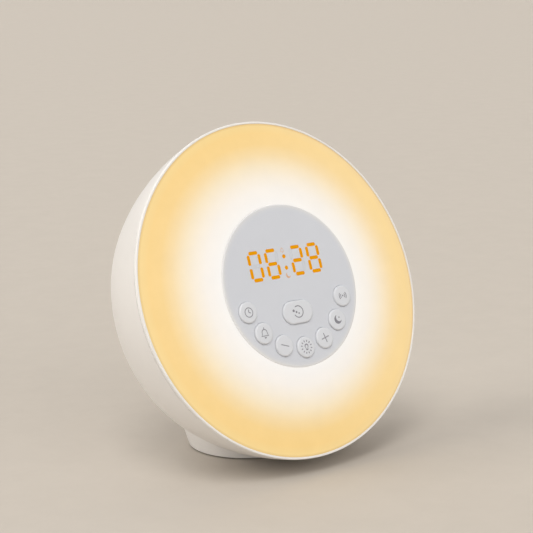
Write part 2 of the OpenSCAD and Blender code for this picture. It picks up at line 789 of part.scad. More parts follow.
module battery_cap() {
    slot_l = 15;
    slot_cut = 1.8;
    lug_z = back_z + cap_t + 0.2;
    color("whitesmoke") in_head() translate([battery_place[0], battery_place[1], 0])
        difference() {
            union() {
                disc(cap_r, back_z, back_z + cap_t);
                disc(cap_neck_r, back_z + cap_t - eps, cap_in_z);
                lug_blocks(cap_r + lug_out, lug_w, lug_z, lug_z + lug_t - 0.1);
            }
            translate([-slot_l / 2, -slot_cut / 2, back_z - eps]) cube([slot_l, slot_cut, 1 + eps]);
        }
}

module coin_cell() {
    color("silver") in_head() translate([battery_place[0], battery_place[1], 0]) {
        disc(cell_r, cell_z, cell_z + cell_t - cell_step);
        disc(cell_r - 2 * cell_step, cell_z, cell_z + cell_t);
    }
}

module battery_contacts() {
    color("gold") in_head() translate([battery_place[0], battery_place[1], 0]) {
        disc(contact_r, cell_z + cell_t, cup_floor_z);
        translate([cell_r, -contact_w / 2, cell_z])
            cube([cup_r - cell_r - 5 * slip, contact_w, cup_floor_z - cell_z]);
    }
    color("gold") in_head() at_contact_tails()
        disc(tail_r, cup_floor_z - eps, cup_floor_z + cup_t + tail_out);
}

module at_contact_tails() {
    for (x = [0, tail_pitch]) translate([battery_place[0] + x, battery_place[1], 0]) children();
}

module housing_screws() {
    color("silver") in_head() four_ways() translate([housing_screw_r, 0, web_z])
        screw(big_r, post_z - web_z + post_l - pilot_floor, big_head_r, big_head_h);
}

// ---- foot ----

// outline of the foot's flare and dome, shrunk inwards by the amount given
function foot_outline(in, z0) = concat(
    [[0, z0], [foot_r - in + (foot_top_r - foot_r) * (z0 - pad_proud) / foot_flare_h, z0]],
    [for (a = steps(0, 90, foot_steps)) [
        (foot_top_r - in) * cos(a), foot_flare_h + (foot_dome_h - in) * sin(a)]]);

module foot_mass(in, z0) {
    rotate_extrude() polygon(foot_outline(in, z0));
}

module at_foot_bosses() {
    for (side = [-1, 1]) translate([side * foot_boss_x, foot_boss_y, 0]) children();
}

module foot() {
    color("whitesmoke") difference() {
        union() {
            difference() {
                foot_mass(0, pad_proud);
                difference() {
                    foot_mass(foot_wall, cover_seat_z);
                    in_head() housing_mass(roof_t);
                }
            }
            intersection() {
                foot_mass(foot_wall / 2, cover_seat_z);
                union() {
                    in_head() at_foot_bosses()
                        disc(foot_boss_r, back_z - foot_boss_l, back_z + eps);
                    at_each(COVER_SCREWS) disc(cover_boss_r, cover_seat_z, foot_flare_h + foot_dome_h);
                }
            }
        }
        in_head() housing_mass(face_gap);
        disc(cover_r + cover_gap, pad_proud - eps, cover_seat_z);
        in_head() at_foot_bosses()
            disc(big_r + pilot_gap, back_z - foot_boss_l + foot_boss_floor, back_z + eps);
        at_each(COVER_SCREWS)
            disc(self_r + pilot_gap, cover_seat_z - eps, cover_seat_z + cover_pilot_l);
    }
}

module foot_screws() {
    color("silver") in_head() at_foot_bosses() translate([0, 0, back_in_z]) mirror([0, 0, 1])
        screw(big_r, foot_screw_l, big_head_r, big_head_h);
}

module foot_cover() {
    color("gainsboro") difference() {
        disc(cover_r, cover_z, cover_seat_z);
        disc(pad_r + cover_gap, cover_z - eps, cover_z + pad_recess);
        at_each(COVER_SCREWS) disc(self_r + clear, cover_z, cover_seat_z + eps);
        at_each(COVER_SCREWS) disc(self_head_r + clear, cover_z - eps, cover_z + pad_recess);
    }
}

module cover_screws() {
    color("silver") at_each(COVER_SCREWS) translate([0, 0, cover_z + pad_recess])
        screw(self_r, cover_screw_l, self_head_r, cover_head_h);
}

module foot_pad() {
    color("dimgray") difference() {
        disc(pad_r, 0, cover_z + pad_recess);
        at_each(COVER_SCREWS) disc(self_head_r + clear, -eps, cover_z + pad_recess + eps);
    }
}

module ballast_weight() {
    color("slategray") difference() {
        intersection() {
            disc(ballast_r + ballast_cut, cover_seat_z + face_gap, cover_seat_z + ballast_h);
            translate([-ballast_r, ballast_front, 0])
                cube([2 * ballast_r, ballast_r, cover_seat_z + ballast_h + eps]);
        }
        at_each(COVER_SCREWS)
            disc(cover_boss_r + ballast_gap, cover_seat_z, cover_seat_z + ballast_h + eps);
    }
}

// ---- inner wiring ----

function unit(v) = v / norm(v);
// point at the share t of the smooth curve from p1 to p2
function curve_point(p0, p1, p2, p3, t) = 0.5 * (2 * p1 + (p2 - p0) * t
    + (2 * p0 - 5 * p1 + 4 * p2 - p3) * t * t + (3 * p1 - p0 - 3 * p2 + p3) * t * t * t);
function smooth_route(p, n) = let (last = len(p) - 1) concat(
    [for (i = [0:last - 1], k = [0:n - 1]) curve_point(
        p[max(i - 1, 0)], p[i], p[i + 1], p[min(i + 2, last)], k / n)],
    [p[last]]);

// a round wire along a route
module wire(route, r) {
    sides = 8;
    p = smooth_route(route, 4);
    n = len(p);
    rings = [for (i = [0:n - 1])
        let (along = unit(p[min(i + 1, n - 1)] - p[max(i - 1, 0)]),
             u = unit(cross(along, [1, 0.2, 0])), v = cross(along, u))
        for (k = [0:sides - 1]) p[i] + r * (cos(k * 360 / sides) * u + sin(k * 360 / sides) * v)];
    skin = [for (i = [0:n - 2], k = [0:sides - 1])
        let (a = i * sides + k, b = i * sides + (k + 1) % sides)
        for (f = [[a, b, a + sides], [b, b + sides, a + sides]]) f];
    ends = [[for (k = [sides - 1:-1:0]) k], [for (k = [0:sides - 1]) (n - 1) * sides + k]];
    polyhedron(rings, concat(skin, ends));
}

// straight stretches at a wire's start, going up from z, and at its end, going up to the board
function lead_start(x, y, z) = [for (k = [0:2]) [x, y, z + k * lead_straight]];
function lead_end(x, y) = [for (k = [-1, 0]) [x, y, lead_end_z + k * lead_straight]];

// two wires side by side, a pitch apart along X, along the route of the middle between them
module lead_pair(route) {
    for (side = [-0.5, 0.5]) wire([for (p = route) p + [side * lead_pitch, 0, 0]], lead_r);
}

module ribbon_cable() {
    in_y = -slot_y1 + 3;
    out_y = ring_board_in + 3;
    foot_z = -light_depth + ring_board_t + face_gap;
    color("lightgray") in_head() translate([-ribbon_w / 2, 0, 0]) rotate([90, 0, 90])
        linear_extrude(ribbon_w) polygon([
            [-in_y, lead_end_z], [-in_y - ribbon_t, lead_end_z],
            [-in_y - ribbon_t, ribbon_low_z + ribbon_t], [-out_y - ribbon_t, ribbon_low_z + ribbon_t],
            [-out_y - ribbon_t, foot_z], [-out_y, foot_z],
            [-out_y, ribbon_low_z], [-in_y, ribbon_low_z]]);
}

module speaker_leads() {
    y0 = speaker_place[1] + terminal_y;
    z0 = speaker_z + terminal_z + terminal_size[2] + face_gap;
    color("red") in_head() lead_pair(concat(lead_start(0, y0, z0),
        SPEAKER_ROUTE, lead_end(speaker_lead_end[0], speaker_lead_end[1])));
}

module power_leads() {
    z0 = back_in_z + 2 * face_gap + socket_box[2];
    color("black") in_head() lead_pair(concat(lead_start(socket_place[0], socket_place[1], z0),
        POWER_ROUTE, lead_end(power_lead_end[0], power_lead_end[1])));
}

module battery_leads() {
    z0 = cup_floor_z + cup_t + tail_out + face_gap;
    color("gold") in_head() for (k = [0, 1]) wire(concat(
        lead_start(battery_place[0] + k * tail_pitch, battery_place[1], z0),
        BATTERY_ROUTES[k],
        lead_end(battery_lead_end[0] + k * lead_pitch, battery_lead_end[1])), lead_r);
}

rear_housing();
front_bezel();
diffuser();
front_panel();
round_button("clock");  // clock_button
round_button("alarm");  // alarm_button
round_button("minus");  // minus_button
round_button("light");  // light_button
round_button("plus");  // plus_button
round_button("sleep");  // sleep_button
round_button("radio");  // radio_button
snooze_button();
plunger(0);  // clock_plunger
plunger(1);  // alarm_plunger
plunger(2);  // minus_plunger
plunger(3);  // light_plunger
plunger(4);  // plus_plunger
plunger(5);  // sleep_plunger
plunger(6);  // radio_plunger
plunger(7);  // snooze_plunger
switch_bodies();
lit_segments();
unlit_segments();
display_module();
main_board();
control_chip();
panel_screws();
reflector();
led_board();
leds();
led_board_screws();
speaker_frame();
speaker_cone();
speaker_magnet();
speaker_screws();
power_socket();
antenna_grommet();
battery_cap();
coin_cell();
battery_contacts();
housing_screws();
foot();
foot_screws();
foot_cover();
cover_screws();
foot_pad();
ballast_weight();
ribbon_cable();
speaker_leads();
power_leads();
battery_leads();
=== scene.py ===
"""Sunrise alarm clock: the looks of every piece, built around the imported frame."""
import json
import math

import bmesh
import bpy
from mathutils import Matrix, Vector
from mathutils.geometry import delaunay_2d_cdt


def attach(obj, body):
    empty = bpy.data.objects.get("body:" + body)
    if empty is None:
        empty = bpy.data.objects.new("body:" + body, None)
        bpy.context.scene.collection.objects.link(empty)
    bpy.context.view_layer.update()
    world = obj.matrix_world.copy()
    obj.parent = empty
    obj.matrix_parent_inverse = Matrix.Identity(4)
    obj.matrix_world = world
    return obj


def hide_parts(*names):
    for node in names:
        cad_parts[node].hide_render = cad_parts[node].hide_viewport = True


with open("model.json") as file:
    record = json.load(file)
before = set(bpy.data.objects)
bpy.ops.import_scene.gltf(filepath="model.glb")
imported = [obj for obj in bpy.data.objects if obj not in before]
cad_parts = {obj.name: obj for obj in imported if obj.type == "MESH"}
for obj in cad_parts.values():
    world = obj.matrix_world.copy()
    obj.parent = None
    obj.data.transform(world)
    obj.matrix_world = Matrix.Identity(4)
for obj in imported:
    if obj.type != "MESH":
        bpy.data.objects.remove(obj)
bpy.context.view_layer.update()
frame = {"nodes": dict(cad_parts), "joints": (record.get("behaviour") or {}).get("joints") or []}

MM = 0.001

# ---- sizes in millimetres; Z is measured out of the face, from the plane of the front rim ----

# rim, bezel and housing
RIM_R = 87.5
LIP_W = 1.15
EDGE_R = RIM_R - LIP_W
BEZEL_H = 1.8
JOINT_H = 0.5
JOINT_DEPTH = 0.6
SPIGOT_L = 3.7
HOUSING_DEPTH = 54
WALL = 2.2
SIDE_ANGLE = math.radians(4.5)
SIDE_CURVE_R = 125
BACK_CURVE_R = 22
HOUSING_S0 = BEZEL_H + JOINT_H
BACK_Z = -HOUSING_DEPTH
BACK_IN_Z = BACK_Z + WALL

# panel and diffuser
PANEL_R = 42
PANEL_PROUD = 6.8
PANEL_T = 2
PANEL_STEP = 0.3
PANEL_ROUND = 0.9
PANEL_BACK_Z = PANEL_PROUD - PANEL_T
BOARD_Z = -2.3
WELL_R = PANEL_R + 0.15
WELL_Z = PANEL_BACK_Z - 1.5
BAFFLE_IN_R = PANEL_R - 2.4
DIFFUSER_T = 1.8
DOME_EDGE = (EDGE_R - 0.05, -0.3)
DOME_TOP = (WELL_R, PANEL_PROUD - PANEL_STEP)
PANEL_BOSSES_AT = ((-20, 28.6), (20, 28.6), (-17.3, -7.4), (17.3, -7.4))
PANEL_BOSS_R = 2.6
PANEL_PILOT_L = 5.5
PILOT_R = 0.98

# buttons
ARC_R = 32.2
ARC_PITCH = 24
BUTTON_D = 11
SNOOZE_SIZE = (19, 11.9)
SNOOZE_AT = (0, -14)
BUTTON_TOP = PANEL_PROUD + 1.1
HOLE_GAP = 0.1
HOLE_ROUND = 0.12
FLANGE_Z = PANEL_BACK_Z - 0.08
FLANGE_T = 0.8
FLANGE_EXTRA = 0.8
STEM_R = 1.6
STEM_Z = FLANGE_Z - FLANGE_T - 1.3
BUTTON_CROWN = 0.12
BUTTON_ROUND = 0.9
ROUND_NAMES = ["clock", "alarm", "minus", "light", "plus", "sleep", "radio"]
ICON_LINE = 0.45
ICON_SUNK = 0.05
ICON_PROUD = 0.02

# display
DISPLAY_UP = 12.1
DISPLAY_SHIFT = -0.4
DIGIT_W = 6.7
DIGIT_H = 13.8
DIGIT_PITCH = 10.85
PAIR_PITCH = 26.9
SEGMENT_W = 1.8
SEGMENT_GAP = 0.45
SEGMENT_TRIM = 0.55
SEGMENT_ROUND = 0.42
POCKET_DEPTH = 0.4
COLON_RISE = 2.95
COLON_R = 1.05
BELL_MARK_AT = (-0.78, 18.24)
MOON_MARK_AT = (-0.3, 5.17)
TIME_SHOWN = [0, 6, 2, 8]
# which are lit of the segments top, top right, bottom right, bottom, bottom left, top left, middle
SEGMENTS_LIT = {0: "1111110", 6: "1011111", 2: "1101101", 8: "1111111"}

# back
SCREW_CIRCLE_R = 50
BOSS_R = 4.6
RECESS_R = 3.2
RECESS_TOP_Z = BACK_Z + 14
POST_Z = -28
SCREW_HOLE_R = 1.5
GRILLE_AT = (0, 17)
GRILLE_HOLE_R = 0.9
GRILLE_PITCH = 3.9
GRILLE_RINGS = 3
SPEAKER_EAR = 22.4
EAR_POST_R = 3
EAR_POST_H = 3
EAR_PILOT_FLOOR = 0.8
CUP_AT = (-26, -24)
CUP_R = 13
CUP_GROOVE_R = 14.1
CUP_WALL = 1.4
CUP_NOTCH_R = 14.05
CUP_NOTCH_W = 7
CUP_TURN = math.radians(-60)
CUP_GROOVE = (BACK_Z + 2, BACK_Z + 3.5)
CUP_FLOOR_Z = -46.25
CAP_R = 12.9
CAP_T = 1.9
CAP_NECK_R = CAP_R - 1
CAP_NECK_L = 1.5
CAP_SLOT = (15, 1.8)
CAP_SLOT_DEPTH = 1
POINTER_HALF_W = 1.1
POINTER_REACH = (9.4, 11.3)
POINTER_DEPTH = 0.3
CAP_LUG_W = 6
CAP_LUG_R = 14
CAP_LUG_ROOT_R = 11.5
CAP_LUG_REACH = (0.2, 1.3)
SOCKET_AT = (26, -26)
SOCKET_R = 4.4
SOCKET_BORE_R = 2.85
SOCKET_DEPTH = 9.5
SOCKET_PIN_R = 1
SOCKET_PIN_IN = 1.2
SOCKET_BODY_L = 12
GROMMET_AT = (40, -8)
GROMMET_HOLE_R = 2.6
LABEL_SIZE = (30, 10)
LABEL_AT = (0, -3)
LABEL_DEPTH = 0.4
LABEL_CORNER = 1.2
FOOT_SCREWS_AT = ((-12, -51.03), (12, -51.03))

# foot and floor; their Z is measured up from the floor
FOOT_R = 29.8
FOOT_TOP_R = 34
FOOT_FLARE_H = 13
FOOT_DOME_H = 17
FOOT_WALL = 2.2
FOOT_FLOOR_T = 2.4
PAD_PROUD = 0.7
COVER_T = 1.6
COVER_R = FOOT_R - 2.6
FLOOR_R = 12000
FLOOR_T = 20

# steps round a full circle for big, middle and small turned shapes
FINE, MIDDLE, SMALL = 288, 96, 40


def head_frame():
    """The face's own frame: X right, Y up the face, Z out of it, origin at the rim's centre."""
    press = next(j for j in frame["joints"] if j["name"] == "snooze_press")
    out = -Vector(press["axis"]).normalized()
    across = Vector((1, 0, 0))
    turn = Matrix((across, out.cross(across), out)).transposed()
    points = [turn.transposed() @ v.co for v in frame["nodes"]["front_panel"].data.vertices]
    heights = [p.y for p in points]
    middle = (min(heights) + max(heights)) / 2
    rim_z = max(p.z for p in points) - PANEL_PROUD * MM
    return Matrix.Translation(turn @ Vector((0, middle, rim_z))) @ turn.to_4x4()


HEAD = head_frame()
WORLD = Matrix.Identity(4)


# ---- outlines, as lists of (x, y) ----

def spaced(first, last, steps):
    """Evenly spaced numbers from first to last, with both ends."""
    return [first + (last - first) * k / steps for k in range(steps + 1)]


def quarter(steps):
    """Angles through a quarter turn, for a rounded edge."""
    return spaced(0, math.pi / 2, steps)


def polar(r, a, at=(0, 0)):
    """The point at the distance r from at, in the direction a in radians."""
    return (at[0] + r * math.cos(a), at[1] + r * math.sin(a))


def circle(r, steps, at=(0, 0)):
    return [polar(r, a, at) for a in spaced(0, 2 * math.pi, steps)[:-1]]


def rounded(corners, steps=5):
    """A closed outline through corners (x, y, radius), each turned into an arc of its radius."""
    outline = []
    for i, (x, y, radius) in enumerate(corners):
        if not radius:
            outline.append((x, y))
            continue
        here = Vector((x, y))
        before = (Vector(corners[i - 1][:2]) - here).normalized()
        after = (Vector(corners[(i + 1) % len(corners)][:2]) - here).normalized()
        half = before.angle(after) / 2
        turn = math.pi - 2 * half
        middle = here + (before + after).normalized() * radius / math.sin(half)
        reach = radius / math.tan(half)
        first, last = here + before * reach - middle, here + after * reach - middle
        for k in range(steps + 1):
            t = k / steps * turn
            out = (first * math.sin(turn - t) + last * math.sin(t)) / math.sin(turn)
            outline.append(tuple(middle + out))
    return outline


def obround(w, h, grow, steps, at):
    """An outline with half-round ends; a circle where w and h are equal."""
    r, side = h / 2 + grow, (w - h) / 2
    half = steps // 2
    outline = []
    for s, start in ((1, -math.pi / 2), (-1, math.pi / 2)):
        turns = [start + math.pi * k / half for k in range(half + (side > 0))]
        outline += [polar(r, a, (at[0] + s * side, at[1])) for a in turns]
    return outline


def moved(outline, at, turn=0):
    """The outline, turned about the origin and then shifted by at."""
    c, s = math.cos(turn), math.sin(turn)
    return [(at[0] + c * x - s * y, at[1] + s * x + c * y) for x, y in outline]


def stroke(points, width):
    """The outline of a line of the given width with round ends."""
    path = [Vector(p) for p in points]
    last = len(path) - 1
    along = [(path[min(i + 1, last)] - path[max(i - 1, 0)]).normalized() for i in range(last + 1)]
    sides = [Vector((-d.y, d.x)) * width / 2 for d in along]

    def cap(at, side):
        ahead = Vector((side.y, -side.x))
        turns = spaced(0, math.pi, 6)[1:-1]
        return [at + side * math.cos(a) + ahead * math.sin(a) for a in turns]

    left = [p + s for p, s in zip(path, sides)]
    right = [p - s for p, s in zip(path, sides)]
    outline = left + cap(path[-1], sides[-1]) + right[::-1] + cap(path[0], -sides[0])
    return [tuple(p) for p in outline]


def arc(r, start, end, steps, at=(0, 0)):
    """Points on a circle from the angle start to the angle end, in degrees."""
    return [polar(r, math.radians(a), at) for a in spaced(start, end, steps)]


# ---- meshes ----

class Skin:
    """Collects rings of points, in millimetres, and the faces between them, for one closed mesh."""

    def __init__(self):
        self.points = []
        self.faces = []

    def ring(self, outline, z):
        start = len(self.points)
        self.points += [(x, y, z(x, y) if callable(z) else z) for x, y in outline]
        return list(range(start, len(self.points)))

    def bridge(self, a, b):
        if len(a) == 1:
            a, b = b, a
        n = len(a)
        if len(b) == 1:
            self.faces += [(a[i], a[(i + 1) % n], b[0]) for i in range(n) if n > 1]
        else:
            self.faces += [(a[i], a[(i + 1) % n], b[(i + 1) % n], b[i]) for i in range(n)]

    def walls(self, shape, levels):
        """Rings of shape(offset) at each level (offset, z), bridged in turn; returns them."""
        rings = [self.ring(shape(offset), z) for offset, z in levels]
        for a, b in zip(rings, rings[1:]):
            self.bridge(a, b)
        return rings

    def turned(self, profile, steps, at=(0, 0), closed=True):
        """Turns a profile of (radius, z) about an upright axis; returns its rings."""
        rings = [self.ring(circle(r, steps, at) if r > 1e-6 else [at], z) for r, z in profile]
        for a, b in zip(rings, rings[1:] + (rings[:1] if closed else [])):
            self.bridge(a, b)
        return rings

    def fill(self, outer, holes=()):
        """Fills the plane inside the ring outer and around the rings in holes."""
        loops = [self.anticlockwise(loop) for loop in (outer, *holes)]
        numbers = [i for loop in loops for i in loop]
        order = {number: k for k, number in enumerate(numbers)}
        flat = [Vector(self.points[i][:2]) for i in numbers]
        made = delaunay_2d_cdt(flat, [], [[order[i] for i in loop] for loop in loops], 1, 1e-7)
        back = [numbers[originals[0]] for originals in made[3]]
        # a triangle that comes from the outer loop alone lies in no hole
        self.faces += [tuple(back[i] for i in face) for face, origins in zip(made[2], made[5])
                       if list(origins) == [0]]

    def anticlockwise(self, loop):
        """The loop, turned round where it runs clockwise seen from +Z."""
        flat = [self.points[i] for i in loop]
        area = sum(a[0] * b[1] - b[0] * a[1] for a, b in zip(flat, flat[1:] + flat[:1]))
        return loop if area > 0 else loop[::-1]

    def plate(self, outline, holes, low, high):
        """A thin solid between the heights low and high, which may follow x and y."""
        bottoms, tops = [], []
        for ring in [outline, *holes]:
            bottom, top = self.walls(lambda offset: ring, [(0, low), (0, high)])
            bottoms.append(bottom)
            tops.append(top)
        self.fill(bottoms[0], bottoms[1:])
        self.fill(tops[0], tops[1:])

    def build(self, name, finish, body, replaces=(), place=HEAD, sharp=32):
        """Makes the mesh; a piece without a body is a tool, or is dressed later."""
        mesh = bpy.data.meshes.new(name)
        mesh.from_pydata([tuple(c * MM for c in p) for p in self.points], [], self.faces)
        work = bmesh.new()
        work.from_mesh(mesh)
        bmesh.ops.recalc_face_normals(work, faces=work.faces)
        work.to_mesh(mesh)
        work.free()
        mesh.shade_smooth()
        mesh.set_sharp_from_angle(angle=math.radians(sharp))
        mesh.transform(place)
        piece = bpy.data.objects.new(name, mesh)
        bpy.context.scene.collection.objects.link(piece)
        if body:
            dress(piece, finish, body, replaces)
        return piece


def dress(piece, finish, body, replaces=()):
    """Gives the piece its material, its even shading and its place in the frame."""
    piece.data.materials.clear()
    piece.data.materials.append(finish)
    even = piece.modifiers.new("even_shading", "WEIGHTED_NORMAL")
    even.keep_sharp = True
    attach(piece, body)
    if replaces:
        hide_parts(*replaces)


def paint_faces(piece, chosen):
    """Gives the second material to the faces whose middles, in the face's own frame, are chosen."""
    to_face = HEAD.inverted()
    for face in piece.data.polygons:
        if chosen(to_face @ face.center / MM):
            face.material_index = 1


def edge(z, radius, inwards):
    """Levels of a rounded edge from a face at z into a hole that runs inwards: 1 or -1 in Z."""
    return [(radius * (1 - math.sin(a)), z + inwards * radius * (1 - math.cos(a)))
            for a in quarter(4)]


def cut(piece, tool):
    """Takes the tool's solid out of the piece and deletes the tool."""
    modifier = piece.modifiers.new("cut", "BOOLEAN")
    modifier.operation = "DIFFERENCE"
    modifier.solver = "EXACT"
    modifier.object = tool
    shown = piece.evaluated_get(bpy.context.evaluated_depsgraph_get())
    mesh = bpy.data.meshes.new_from_object(shown)
    piece.modifiers.remove(modifier)
    piece.data = mesh
    bpy.data.objects.remove(tool)


# ---- materials ----

class Finish:
    """A Principled material whose colour, gloss and relief vary over the surface."""

    def __init__(self, name, colour, roughness, **inputs):
        self.material = bpy.data.materials.new(name)
        self.material.use_nodes = True
        self.nodes = self.material.node_tree.nodes
        self.links = self.material.node_tree.links
        self.shader = self.nodes["Principled BSDF"]
        self.shader.inputs["Base Color"].default_value = (*colour, 1)
        self.shader.inputs["Roughness"].default_value = roughness
        for label, value in inputs.items():
            socket = label.replace("_", " ").title().replace("Ior", "IOR")
            self.shader.inputs[socket].default_value = value
        self.colour = colour
        self.roughness = roughness
        self.place = self.nodes.new("ShaderNodeTexCoord").outputs["Object"]

    def add(self, kind, **settings):
        node = self.nodes.new(kind)
        for key, value in settings.items():
            setattr(node, key, value)
        return node

    def noise(self, size, detail=3, roughness=0.55, stretch=None):
        """Noise whose features are about size millimetres wide."""
        node = self.add("ShaderNodeTexNoise")
        node.inputs["Scale"].default_value = 1 / (size * MM)
        node.inputs["Detail"].default_value = detail
        node.inputs["Roughness"].default_value = roughness
        if stretch:
            scaled = self.add("ShaderNodeMapping")
            scaled.inputs["Scale"].default_value = stretch
            self.links.new(self.place, scaled.inputs["Vector"])
            self.links.new(scaled.outputs["Vector"], node.inputs["Vector"])
        else:
            self.links.new(self.place, node.inputs["Vector"])
        return node.outputs["Fac"]

    def map_range(self, value, low, high, to_low=0, to_high=1, **settings):
        """The value, mapped from the span low to high onto the span to_low to to_high."""
        node = self.add("ShaderNodeMapRange", **settings)
        spans = {"From Min": low, "From Max": high, "To Min": to_low, "To Max": to_high}
        for label, number in spans.items():
            node.inputs[label].default_value = number
        self.links.new(value, node.inputs["Value"])
        return node.outputs["Result"]

    def ramp(self, factor, stops):
        """A colour ramp with stops (place, colour)."""
        node = self.add("ShaderNodeValToRGB")
        elements = node.color_ramp.elements
        while len(elements) < len(stops):
            elements.new(0.5)
        for element, (place, colour) in zip(elements, stops):
            element.position = place
            element.color = (*colour, 1)
        self.links.new(factor, node.inputs["Fac"])
        return node.outputs["Color"]

    def mottle(self, size, depth):
        """Lets the colour drift lighter and darker by the share depth."""
        dark = [c * (1 - depth) for c in self.colour]
        light = [min(1, c * (1 + depth)) for c in self.colour]
        colour = self.ramp(self.noise(size, 4), [(0.3, dark), (0.7, light)])
        self.links.new(colour, self.shader.inputs["Base Color"])
        return self

    def scuff(self, size, depth):
        """Lets the roughness drift up and down by depth."""
        roughness = self.map_range(self.noise(size, 5, 0.6), 0.3, 0.7,
                                   max(0.02, self.roughness - depth), self.roughness + depth)
        self.links.new(roughness, self.shader.inputs["Roughness"])
        return self

    def emit(self, colour):
        """Lets the surface shine in the colour that the output gives."""
        self.links.new(colour, self.shader.inputs["Emission Color"])
        return self

    def face_place(self):
        """Places on the object, measured in the face's own frame."""
        face = self.add("ShaderNodeMapping", vector_type="TEXTURE")
        face.inputs["Location"].default_value = HEAD.translation
        face.inputs["Rotation"].default_value = HEAD.to_euler()
        self.links.new(self.place, face.inputs["Vector"])
        return face.outputs["Vector"]

    def radius_ramp(self, face, stops):
        """A colour ramp with stops (distance in millimetres from the face's axis, colour)."""
        low, high = stops[0][0], stops[-1][0]
        flat = self.add("ShaderNodeVectorMath", operation="MULTIPLY")
        flat.inputs[1].default_value = (1, 1, 0)
        self.links.new(face, flat.inputs[0])
        length = self.add("ShaderNodeVectorMath", operation="LENGTH")
        self.links.new(flat.outputs["Vector"], length.inputs[0])
        share = self.map_range(length.outputs["Value"], low * MM, high * MM)
        return self.ramp(share, [((r - low) / (high - low), colour) for r, colour in stops])

    def grain(self, size, height, stretch=None):
        """Fine relief, with features of size millimetres and the given height."""
        bump = self.add("ShaderNodeBump")
        bump.inputs["Distance"].default_value = height * MM
        bump.inputs["Strength"].default_value = 1
        self.links.new(self.noise(size, 2, 0.5, stretch), bump.inputs["Height"])
        self.links.new(bump.outputs["Normal"], self.shader.inputs["Normal"])
        return self


def plain(name, colour, roughness, grain=0.5, relief=0.004, drift=0.03, **inputs):
    """Plastic, rubber or paint with a relief of the given grain, whose colour drifts a little."""
    finish = Finish(name, colour, roughness, **inputs)
    return finish.mottle(22, drift).scuff(6, 0.05).grain(grain, relief).material


def glow():
    """The lit diffuser: near white by the panel, warm amber towards the rim."""
    # the last stop darkens the emission at the very rim: a painted shadow line along the gap by the
    # lip
    left = [(43, (0.92, 0.94, 0.97)), (51, (0.915, 0.90, 0.885)), (57, (0.91, 0.85, 0.75)),
            (63, (0.905, 0.785, 0.575)), (69, (0.895, 0.68, 0.36)), (75, (0.90, 0.615, 0.22)),
            (81, (0.905, 0.61, 0.205)), (85, (0.885, 0.635, 0.24)), (86.3, (0.72, 0.48, 0.17))]
    right = [(43, (0.94, 0.947, 0.945)), (51, (0.93, 0.90, 0.85)), (57, (0.935, 0.86, 0.73)),
             (63, (0.935, 0.785, 0.56)), (69, (0.93, 0.72, 0.41)), (75, (0.93, 0.688, 0.32)),
             (81, (0.935, 0.68, 0.295)), (85, (0.895, 0.65, 0.30)), (86.3, (0.72, 0.49, 0.22))]
    # from the first place to the second, across the face, the left colours give way to the right
    fade_from, fade_to = -0.2 * RIM_R, 0.95 * RIM_R
    finish = Finish("glow_diffuser", (0.22, 0.17, 0.10), 0.42, emission_strength=0.78)
    face = finish.face_place()
    mix = finish.add("ShaderNodeMix", data_type="RGBA")
    for side, stops in (("A", left), ("B", right)):
        finish.links.new(finish.radius_ramp(face, stops), mix.inputs[side])
    split = finish.add("ShaderNodeSeparateXYZ")
    finish.links.new(face, split.inputs["Vector"])
    across = finish.map_range(split.outputs["X"], fade_from * MM, fade_to * MM,
                              interpolation_type="SMOOTHSTEP")
    finish.links.new(across, mix.inputs["Factor"])
    finish.emit(mix.outputs["Result"])
    return finish.mottle(9, 0.06).scuff(5, 0.04).grain(0.35, 0.0015).material


def panel_grey():
    """Pale grey plastic, with painted light near its edge: a warm emission that stands in for the
    diffuser's glow falling on it.
    """
    finish = Finish("grey_panel", (0.63, 0.648, 0.69), 0.5, emission_strength=1.0)
    # painted light: warm emission rising towards the panel's edge, where the diffuser's glow spills
    # over it
    painted_edge_light = [(38.6, (0, 0, 0)), (40.2, (0.02, 0.014, 0.003)), (41.2, (0.06, 0.043, 0.01)),
                 (PANEL_R, (0.14, 0.11, 0.06))]
    finish.emit(finish.radius_ramp(finish.face_place(), painted_edge_light))
    return finish.mottle(22, 0.012).scuff(6, 0.05).grain(0.4, 0.003).material


def lamp_window(name, colour, strength):
    """A window of the display that is lit from behind."""
    finish = Finish(name, [c * 0.12 for c in colour], 0.5, emission_strength=strength,
                    specular_ior_level=0.03)
    dim = [c * 0.94 for c in colour]
    finish.emit(finish.ramp(finish.noise(1.2), [(0.35, dim), (0.65, colour)]))
    return finish.scuff(2, 0.05).grain(0.3, 0.002).material


def board(name, colour):
    """A circuit board: lacquer over tracks, which show as paler lines."""
    finish = Finish(name, colour, 0.32, coat_weight=0.4)
    bricks = finish.add("ShaderNodeTexBrick", offset=0.37, squash=0.7)
    bricks.inputs["Scale"].default_value = 260
    bricks.inputs["Mortar Size"].default_value = 0.035
    bricks.inputs["Color1"].default_value = (*colour, 1)
    bricks.inputs["Color2"].default_value = (*[c * 0.85 for c in colour], 1)
    bricks.inputs["Mortar"].default_value = (*[min(1, c * 1.5 + 0.02) for c in colour], 1)
    finish.links.new(finish.place, bricks.inputs["Vector"])
    finish.links.new(bricks.outputs["Color"], finish.shader.inputs["Base Color"])
    return finish.scuff(3, 0.08).grain(0.8, 0.01).material


def metal(name, colour, roughness, stretch=(1, 1, 12)):
    """Metal with a fine relief, brushed where it is stretched along one axis."""
    finish = Finish(name, colour, roughness, metallic=1.0)
    return finish.mottle(3, 0.06).scuff(1.2, 0.1).grain(0.15, 0.002, stretch=stretch).material


